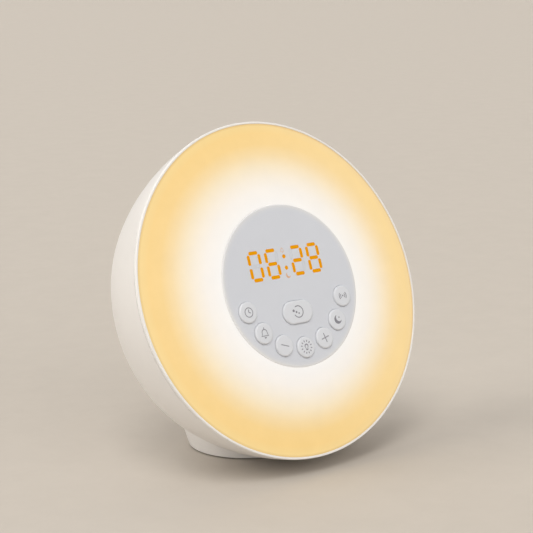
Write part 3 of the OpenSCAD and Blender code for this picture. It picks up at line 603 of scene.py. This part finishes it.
HOUSING_WHITE = plain("white_housing", (0.80, 0.775, 0.745), 0.42, grain=0.45, relief=0.0035,
                      drift=0.012)
GLOSS_WHITE = plain("white_gloss", (0.82, 0.80, 0.77), 0.52, grain=1.2, relief=0.002, drift=0.01,
                    specular_ior_level=0.25)
# joint_shade is painted shade: the housing's white darkened for the groove between bezel and
# housing
JOINT_SHADE = plain("joint_shade", (0.3, 0.285, 0.27), 0.6, grain=0.45, relief=0.003)
PANEL_GREY = panel_grey()
BUTTON_GREY = plain("grey_button", (0.675, 0.69, 0.722), 0.46, relief=0.003, drift=0.01)
PRINT_GREY = plain("grey_print", (0.25, 0.245, 0.275), 0.55, grain=0.25, relief=0.003, drift=0.12)
GLOW = glow()
AMBER = lamp_window("amber_window", (0.815, 0.325, 0.001), 0.86)
AMBER_FAINT = lamp_window("amber_faint", (0.78, 0.47, 0.28), 0.78)
DIM_WINDOW = plain("dim_window", (0.61, 0.63, 0.672), 0.42, grain=0.4, relief=0.002)
DARK_PLASTIC = plain("dark_plastic", (0.045, 0.045, 0.048), 0.45, relief=0.006, drift=0.12)
RUBBER = plain("dark_rubber", (0.035, 0.034, 0.033), 0.8, grain=0.7, relief=0.02, drift=0.15)
BOARD_GREEN = board("board_green", (0.02, 0.16, 0.06))
BOARD_WHITE = board("board_white", (0.72, 0.72, 0.7))
LED_RESIN = plain("led_resin", (0.85, 0.72, 0.35), 0.3, grain=0.3, relief=0.003)
STEEL = metal("steel", (0.62, 0.61, 0.6), 0.34)
CONE_BLACK = plain("cone_black", (0.022, 0.022, 0.024), 0.85, grain=0.6, relief=0.03, drift=0.2)
MAGNET = plain("magnet_grey", (0.12, 0.12, 0.125), 0.55, grain=0.4, relief=0.01, drift=0.15)
BRASS = metal("contact_brass", (0.78, 0.58, 0.28), 0.3)
BALLAST = metal("ballast_iron", (0.28, 0.27, 0.26), 0.55, stretch=(1, 1, 1))
RIBBON = plain("ribbon_grey", (0.52, 0.52, 0.53), 0.5, grain=0.6, relief=0.01)
LEAD_RED = plain("lead_red", (0.5, 0.03, 0.02), 0.42, grain=0.8, relief=0.006)
LEAD_BLACK = plain("lead_black", (0.03, 0.03, 0.03), 0.42, grain=0.8, relief=0.006)

# the CAD nodes that keep their own shape, by the material that they get
KEPT_FINISHES = {
    DARK_PLASTIC: ["control_chip", "speaker_frame", "display_module",
                   *(name + "_plunger" for name in [*ROUND_NAMES, "snooze"])],
    RUBBER: ["foot_pad"],
    BOARD_GREEN: ["main_board"],
    BOARD_WHITE: ["led_board"],
    LED_RESIN: ["leds"],
    STEEL: ["switch_bodies", "panel_screws", "led_board_screws", "speaker_screws", "housing_screws",
            "foot_screws", "cover_screws", "coin_cell"],
    CONE_BLACK: ["speaker_cone"],
    MAGNET: ["speaker_magnet"],
    BRASS: ["battery_contacts"],
    BALLAST: ["ballast_weight"],
    RIBBON: ["ribbon_cable"],
    LEAD_RED: ["speaker_leads"],
    LEAD_BLACK: ["power_leads", "battery_leads"],
    HOUSING_WHITE: ["reflector", "foot_cover"],
}


# ---- the head's turned profiles ----

def side_angle_at(s):
    """Slope of the long side curve at the distance s behind the rim."""
    return math.asin(math.sin(SIDE_ANGLE) + s / SIDE_CURVE_R)


BACK_ANGLE = math.asin((HOUSING_DEPTH - BACK_CURVE_R + SIDE_CURVE_R * math.sin(SIDE_ANGLE))
                       / (SIDE_CURVE_R - BACK_CURVE_R))


def side_point(a, out):
    """Point of the long side curve where its slope is a, as (radius, z)."""
    return (RIM_R - SIDE_CURVE_R * (math.cos(SIDE_ANGLE) - math.cos(a)) + out * math.cos(a),
            -SIDE_CURVE_R * (math.sin(a) - math.sin(SIDE_ANGLE)) - out * math.sin(a))


def back_point(a, out):
    """Point of the curve between side and back where its slope is a."""
    r, z = side_point(BACK_ANGLE, 0)
    return (r - BACK_CURVE_R * (math.cos(BACK_ANGLE) - math.cos(a)) + out * math.cos(a),
            z - BACK_CURVE_R * (math.sin(a) - math.sin(BACK_ANGLE)) - out * math.sin(a))


def shell_curve(s0, out, steps=28):
    """The housing's skin, moved out, from s0 behind the rim to the edge of its flat back."""
    sides = spaced(side_angle_at(s0), BACK_ANGLE, steps)
    backs = spaced(BACK_ANGLE, math.pi / 2, steps)[1:]
    return [side_point(a, out) for a in sides] + [back_point(a, out) for a in backs]


def dome(r, depth=0):
    """Height of the diffuser's dome at the radius r, measured depth inside its skin."""
    (r0, z0), (r1, z1) = DOME_EDGE, DOME_TOP
    middle = (r0 ** 2 + z0 ** 2 - r1 ** 2 - z1 ** 2) / (2 * (z0 - z1))
    radius = math.hypot(r0, z0 - middle) - depth
    return middle + math.sqrt(radius ** 2 - r * r)


# the bezel's spigot inside the housing's mouth, and the ledge on it that carries the diffuser
SPIGOT_R = side_point(side_angle_at(HOUSING_S0 + SPIGOT_L), -WALL)[0] - 0.15
LEDGE_R = SPIGOT_R - 1.9
LEDGE_Z = DOME_EDGE[1] - 1.35


def front_bezel():
    lip, joint = 0.42, 0.12
    profile = rounded([
        (EDGE_R, 0, 0.25), (RIM_R, 0, lip), (RIM_R, -BEZEL_H, joint),
        (RIM_R - JOINT_DEPTH, -BEZEL_H, 0), (RIM_R - JOINT_DEPTH, -HOUSING_S0, 0),
        (SPIGOT_R, -HOUSING_S0, 0), (SPIGOT_R, -HOUSING_S0 - SPIGOT_L, 0.2),
        (LEDGE_R, -HOUSING_S0 - SPIGOT_L, 0.2), (LEDGE_R, LEDGE_Z, 0), (EDGE_R, LEDGE_Z, 0)])
    skin = Skin()
    skin.turned(profile, FINE)
    ring = skin.build("bezel_ring", GLOSS_WHITE, "case", ["front_bezel"])
    # the groove's faces get joint_shade, painted shade of the gap
    ring.data.materials.append(JOINT_SHADE)
    inside_r = RIM_R - JOINT_DEPTH / 2
    paint_faces(ring, lambda p: -HOUSING_S0 <= p.z < -BEZEL_H and p.xy.length < inside_r)


def diffuser():
    inner_r, skirt_r = WELL_R + 1.3, LEDGE_R + 1
    outside = spaced(DOME_EDGE[0], DOME_TOP[0], 40)[1:-1]
    inside = spaced(inner_r, skirt_r, 12)
    profile = rounded(
        [(*DOME_EDGE, 0.2)] + [(r, dome(r), 0) for r in outside] + [(*DOME_TOP, 0.25)]
        + [(WELL_R, PANEL_BACK_Z, 0), (BAFFLE_IN_R, PANEL_BACK_Z, 0), (BAFFLE_IN_R, WELL_Z, 0),
           (inner_r, WELL_Z, 0)]
        + [(r, dome(r, DIFFUSER_T), 0) for r in inside]
        + [(skirt_r, LEDGE_Z, 0), (DOME_EDGE[0], LEDGE_Z, 0)])
    skin = Skin()
    skin.turned(profile, FINE)
    skin.build("diffuser_dome", GLOW, "case", ["diffuser"], sharp=50)


# ---- rear housing ----

def ray_ring(outline, r, at):
    """A circle about at with one point in the direction of each point of the outline."""
    return [polar(r, math.atan2(y - at[1], x - at[0]), at) for x, y in outline]


def cup_outline(grow):
    """The battery cup's mouth: a circle with two notches for the cap's lugs."""
    half = CUP_NOTCH_W / 2 + grow
    r, notch_r = CUP_R + grow, CUP_NOTCH_R + grow
    inner, outer = math.asin(half / r), math.asin(half / notch_r)
    points = []
    for side in (0, math.pi):
        points += [polar(notch_r, a) for a in spaced(side - outer, side + outer, 8)]
        points += [polar(r, a) for a in spaced(side + inner, side + math.pi - inner, 32)]
    return moved(points, CUP_AT, CUP_TURN)


def label_outline(grow):
    """The bare label recess: a rectangle with rounded corners."""
    w, h = (side / 2 + grow for side in LABEL_SIZE)
    corners = [(x * w, y * h, LABEL_CORNER) for x, y in ((1, 1), (-1, 1), (-1, -1), (1, -1))]
    return moved(rounded(corners), LABEL_AT)


def grille_places():
    places = [GRILLE_AT]
    for k in range(1, GRILLE_RINGS + 1):
        turns = [math.radians(i * 60 / k) for i in range(6 * k)]
        places += [polar(k * GRILLE_PITCH, a, GRILLE_AT) for a in turns]
    return places


def rear_outer():
    """The housing's outer skin, with a small rounding at its front edge."""
    r, z = side_point(side_angle_at(HOUSING_S0), 0)
    lip = 0.18
    start = [(r - lip * (1 - math.sin(a)), z - lip * (1 - math.cos(a))) for a in quarter(4)[:-1]]
    return start + shell_curve(HOUSING_S0 + lip, 0)


def rear_housing():
    skin = Skin()
    skin_out = skin.turned(rear_outer(), FINE, closed=False)
    skin_in = skin.turned(shell_curve(HOUSING_S0 + 0.5, -WALL), FINE, closed=False)
    mouth = skin.ring(circle(side_point(side_angle_at(HOUSING_S0), -WALL)[0], FINE), -HOUSING_S0)
    skin.bridge(skin_out[0], mouth)
    skin.bridge(mouth, skin_in[0])
    outer_holes, inner_holes = [], []

    def through(at, r, round_r=0.25, steps=SMALL):
        levels = edge(BACK_Z, round_r, 1) + [(0, BACK_IN_Z)]
        rings = skin.walls(lambda grow: circle(r + grow, steps, at), levels)
        outer_holes.append(rings[0])
        inner_holes.append(rings[-1])

    for at in grille_places():
        through(at, GRILLE_HOLE_R, 0.22, 24)
    through(SOCKET_AT, SOCKET_R + 0.1)
    through(GROMMET_AT, GROMMET_HOLE_R)
    for at in FOOT_SCREWS_AT:
        through(at, SCREW_HOLE_R, 0.1)
    for x, y in ((1, 0), (-1, 0), (0, 1), (0, -1)):
        levels = [(RECESS_R + grow, z) for grow, z in edge(BACK_Z, 0.4, 1)]
        levels += [(RECESS_R, RECESS_TOP_Z), (SCREW_HOLE_R, RECESS_TOP_Z), (SCREW_HOLE_R, POST_Z),
                   (BOSS_R, POST_Z), (BOSS_R, BACK_IN_Z)]
        at = (x * SCREW_CIRCLE_R, y * SCREW_CIRCLE_R)
        rings = skin.turned(levels, SMALL, at, closed=False)
        outer_holes.append(rings[0])
        inner_holes.append(rings[-1])
    for side in (-1, 1):
        at = (GRILLE_AT[0] + side * SPEAKER_EAR, GRILLE_AT[1])
        top, floor_z = BACK_IN_Z + EAR_POST_H, BACK_IN_Z + EAR_PILOT_FLOOR
        levels = [(EAR_POST_R, BACK_IN_Z), (EAR_POST_R, top), (PILOT_R, top), (PILOT_R, floor_z),
                  (0, floor_z)]
        inner_holes.append(skin.turned(levels, SMALL, at, closed=False)[0])

    label = skin.walls(label_outline, edge(BACK_Z, 0.12, 1) + [(0, BACK_Z + LABEL_DEPTH)])
    outer_holes.append(label[0])
    skin.fill(label[-1])

    mouth_rings = skin.walls(cup_outline, edge(BACK_Z, 0.15, 1) + [(0, CUP_GROOVE[0])])
    outer_holes.append(mouth_rings[0])
    last = mouth_rings[-1]
    for r, z in ((CUP_GROOVE_R, CUP_GROOVE[0]), (CUP_GROOVE_R, CUP_GROOVE[1]),
                 (CUP_R, CUP_GROOVE[1]), (CUP_R, CUP_FLOOR_Z)):
        ring = skin.ring(ray_ring(cup_outline(0), r, CUP_AT), z)
        skin.bridge(last, ring)
        last = ring
    skin.fill(last)
    cup_r = CUP_GROOVE_R + CUP_WALL
    levels = [(cup_r, BACK_IN_Z), (cup_r, CUP_FLOOR_Z + CUP_WALL), (0, CUP_FLOOR_Z + CUP_WALL)]
    inner_holes.append(skin.turned(levels, MIDDLE, CUP_AT, closed=False)[0])

    skin.fill(skin_out[-1], outer_holes)
    skin.fill(skin_in[-1], inner_holes)
    shell = skin.build("housing_shell", HOUSING_WHITE, "case", ["rear_housing"],
                       sharp=28)
    # the housing's front edge in the groove gets joint_shade, painted shade of the gap
    shell.data.materials.append(JOINT_SHADE)
    paint_faces(shell, lambda p: p.z > -HOUSING_S0 - 0.01)


# ---- control panel, buttons and display ----

def arc_place(name):
    """Middle of a round button on the panel's arc."""
    middle = len(ROUND_NAMES) // 2
    return polar(ARC_R, math.radians(-90 + (ROUND_NAMES.index(name) - middle) * ARC_PITCH))


def segment_shape(length, grow):
    """A lying segment: a bar with slanted, rounded ends."""
    h, x = SEGMENT_W / 2 + grow, length / 2 + grow
    tip = 0.55 * h
    corners = [(-x, 0), (-x + tip, h), (x - tip, h), (x, 0), (x - tip, -h), (-x + tip, -h)]
    return rounded([(cx, cy, SEGMENT_ROUND) for cx, cy in corners], 3)


def segments(state):
    """Outline functions of all segments that are in the wanted state."""
    lying = DIGIT_W - 2 * SEGMENT_GAP
    standing = DIGIT_H / 2 - 2 * SEGMENT_GAP - SEGMENT_TRIM
    x, y = DIGIT_W / 2, DIGIT_H / 4
    places = [(0, 2 * y), (x, y), (x, -y), (0, -2 * y), (-x, -y), (-x, y), (0, 0)]
    middles = [DISPLAY_SHIFT + pair * PAIR_PITCH + side * DIGIT_PITCH
               for pair in (-0.5, 0.5) for side in (-0.5, 0.5)]
    shapes = []
    for digit, middle in zip(TIME_SHOWN, middles):
        for (dx, dy), lit in zip(places, SEGMENTS_LIT[digit]):
            if lit != state:
                continue
            length, turn = (standing, math.pi / 2) if dx else (lying, 0)
            at = (middle + dx, DISPLAY_UP + dy)
            shapes.append(lambda grow, length=length, turn=turn, at=at: moved(
                segment_shape(length, grow), at, turn))
    return shapes


def colon_dots():
    places = [(DISPLAY_SHIFT, DISPLAY_UP + side * COLON_RISE) for side in (-1, 1)]
    return [lambda grow, at=at: circle(COLON_R + grow, SMALL, at) for at in places]


def front_panel():
    skin = Skin()
    rounding = [(PANEL_R - PANEL_ROUND * (1 - math.cos(a)),
                 PANEL_PROUD - PANEL_STEP * (1 - math.sin(a))) for a in quarter(8)[::-1]]
    rim = skin.turned(rounding + [(PANEL_R, PANEL_BACK_Z)], FINE, closed=False)
    holes = [lambda grow, at=arc_place(name): circle(BUTTON_D / 2 + HOLE_GAP + grow, MIDDLE, at)
             for name in ROUND_NAMES]
    holes.append(lambda grow: obround(*SNOOZE_SIZE, HOLE_GAP + grow, MIDDLE, SNOOZE_AT))
    tops, backs = [], []
    for shape in holes:
        rings = skin.walls(shape, edge(PANEL_PROUD, HOLE_ROUND, -1) + [(0, PANEL_BACK_Z)])
        tops.append(rings[0])
        backs.append(rings[-1])
    for shape in segments("1") + segments("0") + colon_dots():
        rings = skin.walls(shape, [(0.03, PANEL_PROUD), (0.02, PANEL_PROUD - POCKET_DEPTH)])
        tops.append(rings[0])
        skin.fill(rings[-1])
    pilot_z = BOARD_Z + PANEL_PILOT_L
    for at in PANEL_BOSSES_AT:
        levels = [(PANEL_BOSS_R, PANEL_BACK_Z), (PANEL_BOSS_R, BOARD_Z), (PILOT_R, BOARD_Z),
                  (PILOT_R, pilot_z), (0, pilot_z)]
        backs.append(skin.turned(levels, SMALL, at, closed=False)[0])
    skin.fill(rim[0], tops)
    skin.fill(rim[-1], backs)
    skin.build("control_panel", PANEL_GREY, "case", ["front_panel"])


def display_windows():
    """The windows in the panel's pockets, and the faint marks above and below the colon."""
    low, high = PANEL_PROUD - POCKET_DEPTH + 0.01, PANEL_PROUD
    for name, state, finish, slot in (("lit_segments", "1", AMBER, "amber_window"),
                                      ("unlit_segments", "0", DIM_WINDOW, "dim_window")):
        skin = Skin()
        for shape in segments(state) + (colon_dots() if state == "1" else []):
            rings = skin.walls(shape, [(0, low), (0, high - 0.04), (-0.04, high)])
            skin.fill(rings[0])
            skin.fill(rings[-1])
        skin.build(name.replace("segments", "windows"), finish, "case", [name])
    skin = Skin()
    low, high = PANEL_PROUD - 0.02, PANEL_PROUD + 0.03
    for outline, holes in bell_icon(0.58, BELL_MARK_AT) + moon_icon(0.62, MOON_MARK_AT):
        skin.plate(outline, holes, low, high)
    skin.build("status_marks", AMBER_FAINT, "case")


class Crown:
    """The gently crowned top of a button of the size w by h."""

    def __init__(self, w, h, at):
        self.w, self.h, self.at = w, h, at

    def height(self, depth):
        """Height at the distance depth inside the button's outline."""
        left = 1 - min(1, max(0, depth / (self.h / 2)))
        return BUTTON_TOP - BUTTON_CROWN * left * left

    def at_point(self, x, y):
        aside = max(0, abs(x - self.at[0]) - (self.w - self.h) / 2)
        return self.height(self.h / 2 - math.hypot(aside, y - self.at[1]))


def button(name, at, w, h, icon):
    """A key cap with its flange and stem, and the raised icon that rides on it."""
    crown = Crown(w, h, at)
    body = name + "_key"

    def shape(grow):
        return obround(w, h, grow, MIDDLE, at)

    skin = Skin()
    stem = ray_ring(shape(0), STEM_R, at)
    low = skin.ring(stem, STEM_Z)
    top = skin.ring(stem, FLANGE_Z - FLANGE_T)
    skin.fill(low)
    skin.bridge(low, top)
    edge_z = crown.height(BUTTON_ROUND) - BUTTON_ROUND
    levels = [(FLANGE_EXTRA, FLANGE_Z - FLANGE_T), (FLANGE_EXTRA, FLANGE_Z), (0, FLANGE_Z)]
    levels += [(-BUTTON_ROUND * (1 - math.cos(a)), edge_z + BUTTON_ROUND * math.sin(a))
               for a in quarter(7)]
    # the last ring stays a little short of the cap's middle
    depths = spaced(BUTTON_ROUND, h / 2 - 0.3, 8)[1:]
    levels += [(-depth, crown.height(depth)) for depth in depths]
    rings = skin.walls(shape, levels)
    skin.bridge(top, rings[0])
    skin.fill(rings[-1])
    skin.build(name + "_cap", BUTTON_GREY, body, [name + "_button"])

    marks = Skin()
    for outline, holes in icon:
        marks.plate(moved(outline, at), [moved(hole, at) for hole in holes],
                    lambda x, y: crown.at_point(x, y) - ICON_SUNK,
                    lambda x, y: crown.at_point(x, y) + ICON_PROUD)
    marks.build(name + "_icon", PRINT_GREY, body, sharp=60)


# ---- icons: lists of (outline, holes) about the middle of a button ----

def line_icon(*lines, width=ICON_LINE):
    return [(stroke(points, width), []) for points in lines]


def ring_icon(r):
    return [(circle(r + ICON_LINE / 2, 48), [circle(r - ICON_LINE / 2, 48)])]


def straight(a, b, steps=6):
    return list(zip(spaced(a[0], b[0], steps), spaced(a[1], b[1], steps)))


def turned_line(length, degrees):
    x, y = polar(length / 2, math.radians(degrees))
    return straight((-x, -y), (x, y))


def clock_icon():
    hands = line_icon(straight((0, 1.35), (0, 0)), straight((0, 0), (0.95, -0.35), 4))
    return ring_icon(2.35) + hands


def bell_icon(scale, at=(0, 0)):
    """A bell drawn as an outline, with its knob and clapper."""
    flank = [(0.65, 1.8), (1.2, 1.4), (1.5, 0.7), (1.58, -0.1), (1.72, -0.75), (2.1, -1.25)]
    outside = [(-x, y) for x, y in flank[::-1]] + [(0, 1.95)] + flank
    body = [(x * scale, y * scale) for x, y in outside]
    brim = [(x * scale, -1.3 * scale) for x in spaced(2.1, -2.1, 8)[1:-1]]
    loop = body + brim
    knob = circle(0.3 * scale, 16, (0, 2.3 * scale))
    clapper = arc(0.62 * scale, 180, 360, 10, (0, -1.68 * scale))
    parts = [(loop, [inset(loop, 0.76, (0, 0.1))]), (knob, []), (clapper, [])]
    return [(moved(outline, at), [moved(hole, at) for hole in holes]) for outline, holes in parts]


def inset(loop, share, about=(0, 0)):
    """The loop, drawn at the given share of its size about a point inside it."""
    return [(about[0] + (x - about[0]) * share, about[1] + (y - about[1]) * share)
            for x, y in loop]


def moon_icon(scale=1.0, at=(0, 0)):
    """A crescent, open to the upper right."""
    outer = arc(2.3 * scale, 100, 350, 30)
    middle = (0.95 * scale, 0.8 * scale)
    (a0, r0), (a1, r1) = [(math.atan2(y - middle[1], x - middle[0]), math.dist((x, y), middle))
                          for x, y in (outer[-1], outer[0])]
    sweep = (a0 - a1) % (2 * math.pi)
    inner = [polar(r, a, middle) for r, a in zip(spaced(r0, r1, 24), spaced(a0, a0 - sweep, 24))]
    return [(moved(outer + inner[1:-1], at), [])]


def star(r, at):
    """A star with five points."""
    return [polar(r * (0.45 if k % 2 else 1), math.pi / 2 + math.pi * k / 5, at)
            for k in range(10)]


def sleep_icon():
    """A crescent with a small star in its opening."""
    return moon_icon() + [(star(0.62, (0.95, 1.0)), [])]


def light_icon():
    """A bulb among rays."""
    bulb = arc(1.2, -50, 230, 24, (0, 0.5))[::-1] + [(0.62, -1.7), (-0.62, -1.7)]
    turns = [math.radians(75 + 30 * k) for k in range(12)]
    rays = [straight(polar(2.8, a), polar(3.3, a), 2) for a in turns]
    return [(bulb, [inset(bulb, 0.6)])] + line_icon(*rays, width=0.56)


def radio_icon():
    """A mast's tip with waves to both sides."""
    waves = [arc(r, side - 38, side + 38, 10) for r in (1.35, 2.3) for side in (0, 180)]
    return [(circle(0.48, 20), [])] + line_icon(*waves)


def snooze_icon():
    """An open ring with three dots that grow towards its opening."""
    ring = arc(2.95, 118, -150, 40, (-0.1, 0.1))
    dots = ((0.7, (-3.0, 0.85)), (0.58, (-1.35, 0)), (0.46, (0.1, -0.75)))
    return line_icon(ring, width=0.5) + [(circle(r, 20, at), []) for r, at in dots]


def buttons():
    icons = {
        "clock": clock_icon(),
        "alarm": bell_icon(1.15),
        "minus": line_icon(turned_line(4.6, -19), width=0.5),
        "light": light_icon(),
        "plus": line_icon(turned_line(4.6, 14), turned_line(4.6, 104), width=0.5),
        "sleep": sleep_icon(),
        "radio": radio_icon(),
    }
    for name, icon in icons.items():
        button(name, arc_place(name), BUTTON_D, BUTTON_D, icon)
    button("snooze", SNOOZE_AT, *SNOOZE_SIZE, snooze_icon())


# ---- pieces in the back ----

def power_socket():
    """The barrel socket's mouth with its bright pin."""
    floor_z, deep, end = BACK_Z + SOCKET_PIN_IN, BACK_Z + SOCKET_DEPTH, BACK_IN_Z + SOCKET_BODY_L
    profile = rounded([
        (SOCKET_BORE_R, BACK_Z, 0.35), (SOCKET_R, BACK_Z, 0.2), (SOCKET_R, BACK_IN_Z + 0.05, 0),
        (SOCKET_R + 0.1, end, 0), (0, end, 0), (0, floor_z, 0), (SOCKET_PIN_R, floor_z, 0.4),
        (SOCKET_PIN_R, deep, 0), (SOCKET_BORE_R, deep, 0)])
    skin = Skin()
    skin.turned(profile, 64, SOCKET_AT)
    barrel = skin.build("socket_barrel", DARK_PLASTIC, "case", ["power_socket"])
    barrel.data.materials.append(STEEL)
    pin_r = SOCKET_PIN_R + 0.01
    paint_faces(barrel, lambda p: math.dist(p[:2], SOCKET_AT) < pin_r and p[2] < deep)


def antenna_grommet():
    lip, lip_t, bore_r = 1.1, 0.9, 0.9
    out_r = GROMMET_HOLE_R + lip
    neck_r = GROMMET_HOLE_R - 0.03
    profile = rounded([
        (bore_r, BACK_Z - lip_t, 0.3), (out_r, BACK_Z - lip_t, 0.55), (out_r, BACK_Z, 0.1),
        (neck_r, BACK_Z, 0), (neck_r, BACK_IN_Z, 0), (out_r - 0.4, BACK_IN_Z, 0.1),
        (GROMMET_HOLE_R + 0.2, BACK_IN_Z + 1.2, 0.2), (bore_r, BACK_IN_Z + 1.2, 0.2)])
    skin = Skin()
    skin.turned(profile, 64, GROMMET_AT)
    skin.build("aerial_grommet", RUBBER, "case", ["antenna_grommet"])


def battery_cap():
    """A flush round cap with a coin slot, two lugs under it and a pointer at its edge."""
    skin = Skin()
    lip, under = 0.3, BACK_Z + CAP_T

    def slot(grow):
        return obround(*CAP_SLOT, grow, SMALL, CUP_AT)

    def pointer(grow):
        half, (base, tip) = POINTER_HALF_W + grow, POINTER_REACH
        corners = [(-half, base - grow, 0.2), (half, base - grow, 0.2), (0, tip + 2 * grow, 0.2)]
        return moved(rounded(corners), CUP_AT)

    rounding = [(-lip * (1 - math.cos(a)), BACK_Z + lip * (1 - math.sin(a)))
                for a in quarter(4)[::-1]]
    rim = skin.walls(lambda grow: circle(CAP_R + grow, MIDDLE, CUP_AT), rounding + [(0, under)])
    cuts = []
    for shape, depth in ((slot, CAP_SLOT_DEPTH), (pointer, POINTER_DEPTH)):
        rings = skin.walls(shape, edge(BACK_Z, 0.15, 1) + [(0, BACK_Z + depth)])
        cuts.append(rings[0])
        skin.fill(rings[-1])
    skin.fill(rim[0], cuts)
    levels = [(CAP_NECK_R, under), (CAP_NECK_R, under + CAP_NECK_L)]
    neck = skin.turned(levels, MIDDLE, CUP_AT, closed=False)
    skin.bridge(rim[-1], neck[0])
    skin.fill(neck[-1])
    half, half_w = math.asin(CAP_LUG_W / 2 / CAP_LUG_R), CAP_LUG_W / 2
    for side in (0, math.pi):
        tip = [polar(CAP_LUG_R, a) for a in spaced(side - half, side + half, 8)]
        root = moved([(CAP_LUG_ROOT_R, half_w), (CAP_LUG_ROOT_R, -half_w)], (0, 0), side)
        skin.plate(moved(tip + root, CUP_AT), [], *(under + z for z in CAP_LUG_REACH))
    skin.build("cap_cover", HOUSING_WHITE, "cap", ["battery_cap"])


# ---- foot ----

def foot_profile(shrunk, z0):
    """Radius of the foot's flare at z0 and the points of its dome, both shrunk inwards."""
    low_r = FOOT_R - shrunk + (FOOT_TOP_R - FOOT_R) * (z0 - PAD_PROUD) / FOOT_FLARE_H
    domed = [((FOOT_TOP_R - shrunk) * math.cos(a),
              FOOT_FLARE_H + (FOOT_DOME_H - shrunk) * math.sin(a)) for a in quarter(32)]
    return low_r, domed


def housing_solid(out):
    """A tool with the housing's outer shape, moved out, that leaves room for it in the foot."""
    skin = Skin()
    curve = shell_curve(0.3, out, 40)
    skin.turned([(0, -0.3)] + curve + [(0, curve[-1][1])], FINE)
    return skin.build("housing_solid", None, None)


def foot():
    cover_seat = PAD_PROUD + COVER_T
    floor_z = cover_seat + FOOT_FLOOR_T
    low_r, domed = foot_profile(0, PAD_PROUD)
    corners = [(low_r, PAD_PROUD, 0.4), (*domed[0], 3.5)] + [(r, z, 0) for r, z in domed[2:-1]]
    corners += [(0, FOOT_FLARE_H + FOOT_DOME_H, 0), (0, cover_seat, 0),
                (COVER_R + 0.1, cover_seat, 0), (COVER_R + 0.1, PAD_PROUD, 0.2)]
    skin = Skin()
    skin.turned(rounded(corners, 10), FINE)
    shell = skin.build("foot_shell", None, None, place=WORLD)
    room_r, room_dome = foot_profile(FOOT_WALL, floor_z)
    room = Skin()
    room.turned([(0, floor_z), (room_r, floor_z)] + room_dome[:-1] + [(0, room_dome[-1][1])],
                MIDDLE)
    hollow = room.build("foot_room", None, None, place=WORLD)
    cut(hollow, housing_solid(2))
    cut(shell, hollow)
    cut(shell, housing_solid(0.05))
    shell.data.shade_smooth()
    shell.data.set_sharp_from_angle(angle=math.radians(30))
    dress(shell, HOUSING_WHITE, "case", ["foot"])


# ---- stage, lights and camera ----

def floor():
    skin = Skin()
    skin.turned([(0, 0), (FLOOR_R, 0), (FLOOR_R, -FLOOR_T), (0, -FLOOR_T)], 64)
    ground = skin.build("ground", None, None, place=WORLD)
    ground.data.materials.append(plain("ground_paint", (0.53, 0.48, 0.42), 0.75, grain=3,
                                       relief=0.02, drift=0.015))


def far_light(name, direction, strength, spread, colour):
    """A soft light, far away so that it falls evenly, from (azimuth, elevation) in degrees."""
    data = bpy.data.lights.new(name, "SUN")
    data.energy = strength
    data.angle = math.radians(spread)
    data.color = colour
    lamp = bpy.data.objects.new(name, data)
    bpy.context.scene.collection.objects.link(lamp)
    a, e = (math.radians(d) for d in direction)
    back = Vector((math.sin(a) * math.cos(e), -math.cos(a) * math.cos(e), math.sin(e)))
    lamp.rotation_euler = (-back).to_track_quat("-Z", "Y").to_euler()


def studio():
    far_light("key", (-50, 60), 1.2, 28, (1, 0.985, 0.965))
    far_light("front", (-5, 22), 1.03, 60, (0.975, 0.985, 1))
    far_light("window", (-112, 34), 1.02, 34, (1, 0.985, 0.96))
    far_light("left", (-108, 7), 0.46, 30, (1, 0.98, 0.95))
    far_light("right", (75, 50), 0.3, 70, (1, 0.98, 0.95))
    far_light("behind", (170, 50), 0.6, 60, (1, 0.985, 0.96))
    world = bpy.data.worlds.new("studio")
    world.use_nodes = True
    sky = world.node_tree.nodes["Background"]
    sky.inputs["Color"].default_value = (0.86, 0.83, 0.80, 1)
    sky.inputs["Strength"].default_value = 0.36
    bpy.context.scene.world = world
    bpy.context.scene.view_settings.view_transform = "Standard"


def camera():
    """The photograph's viewpoint: to the object's left and slightly above."""
    turn, drop = math.radians(38.425), math.radians(11.76)
    lens, sensor = 116.1, 36
    from_rim_centre = Vector((-537.7, -664.1, 188.9)) * MM
    data = bpy.data.cameras.new("camera")
    data.lens = lens
    data.sensor_width = sensor
    data.clip_start, data.clip_end = 0.05, 60
    eye = bpy.data.objects.new("camera", data)
    bpy.context.scene.collection.objects.link(eye)
    eye.location = HEAD.translation + from_rim_centre
    eye.rotation_euler = (math.pi / 2 - drop, 0, -turn)
    bpy.context.scene.camera = eye


def keep_cad_nodes():
    for finish, names in KEPT_FINISHES.items():
        for name in names:
            node = frame["nodes"][name]
            if not node.material_slots:
                node.data.materials.append(finish)
            for slot in node.material_slots:
                slot.material = finish


camera()
studio()
floor()
keep_cad_nodes()
front_bezel()
diffuser()
rear_housing()
front_panel()
display_windows()
buttons()
power_socket()
antenna_grommet()
battery_cap()
foot()

bpy.context.view_layer.update()
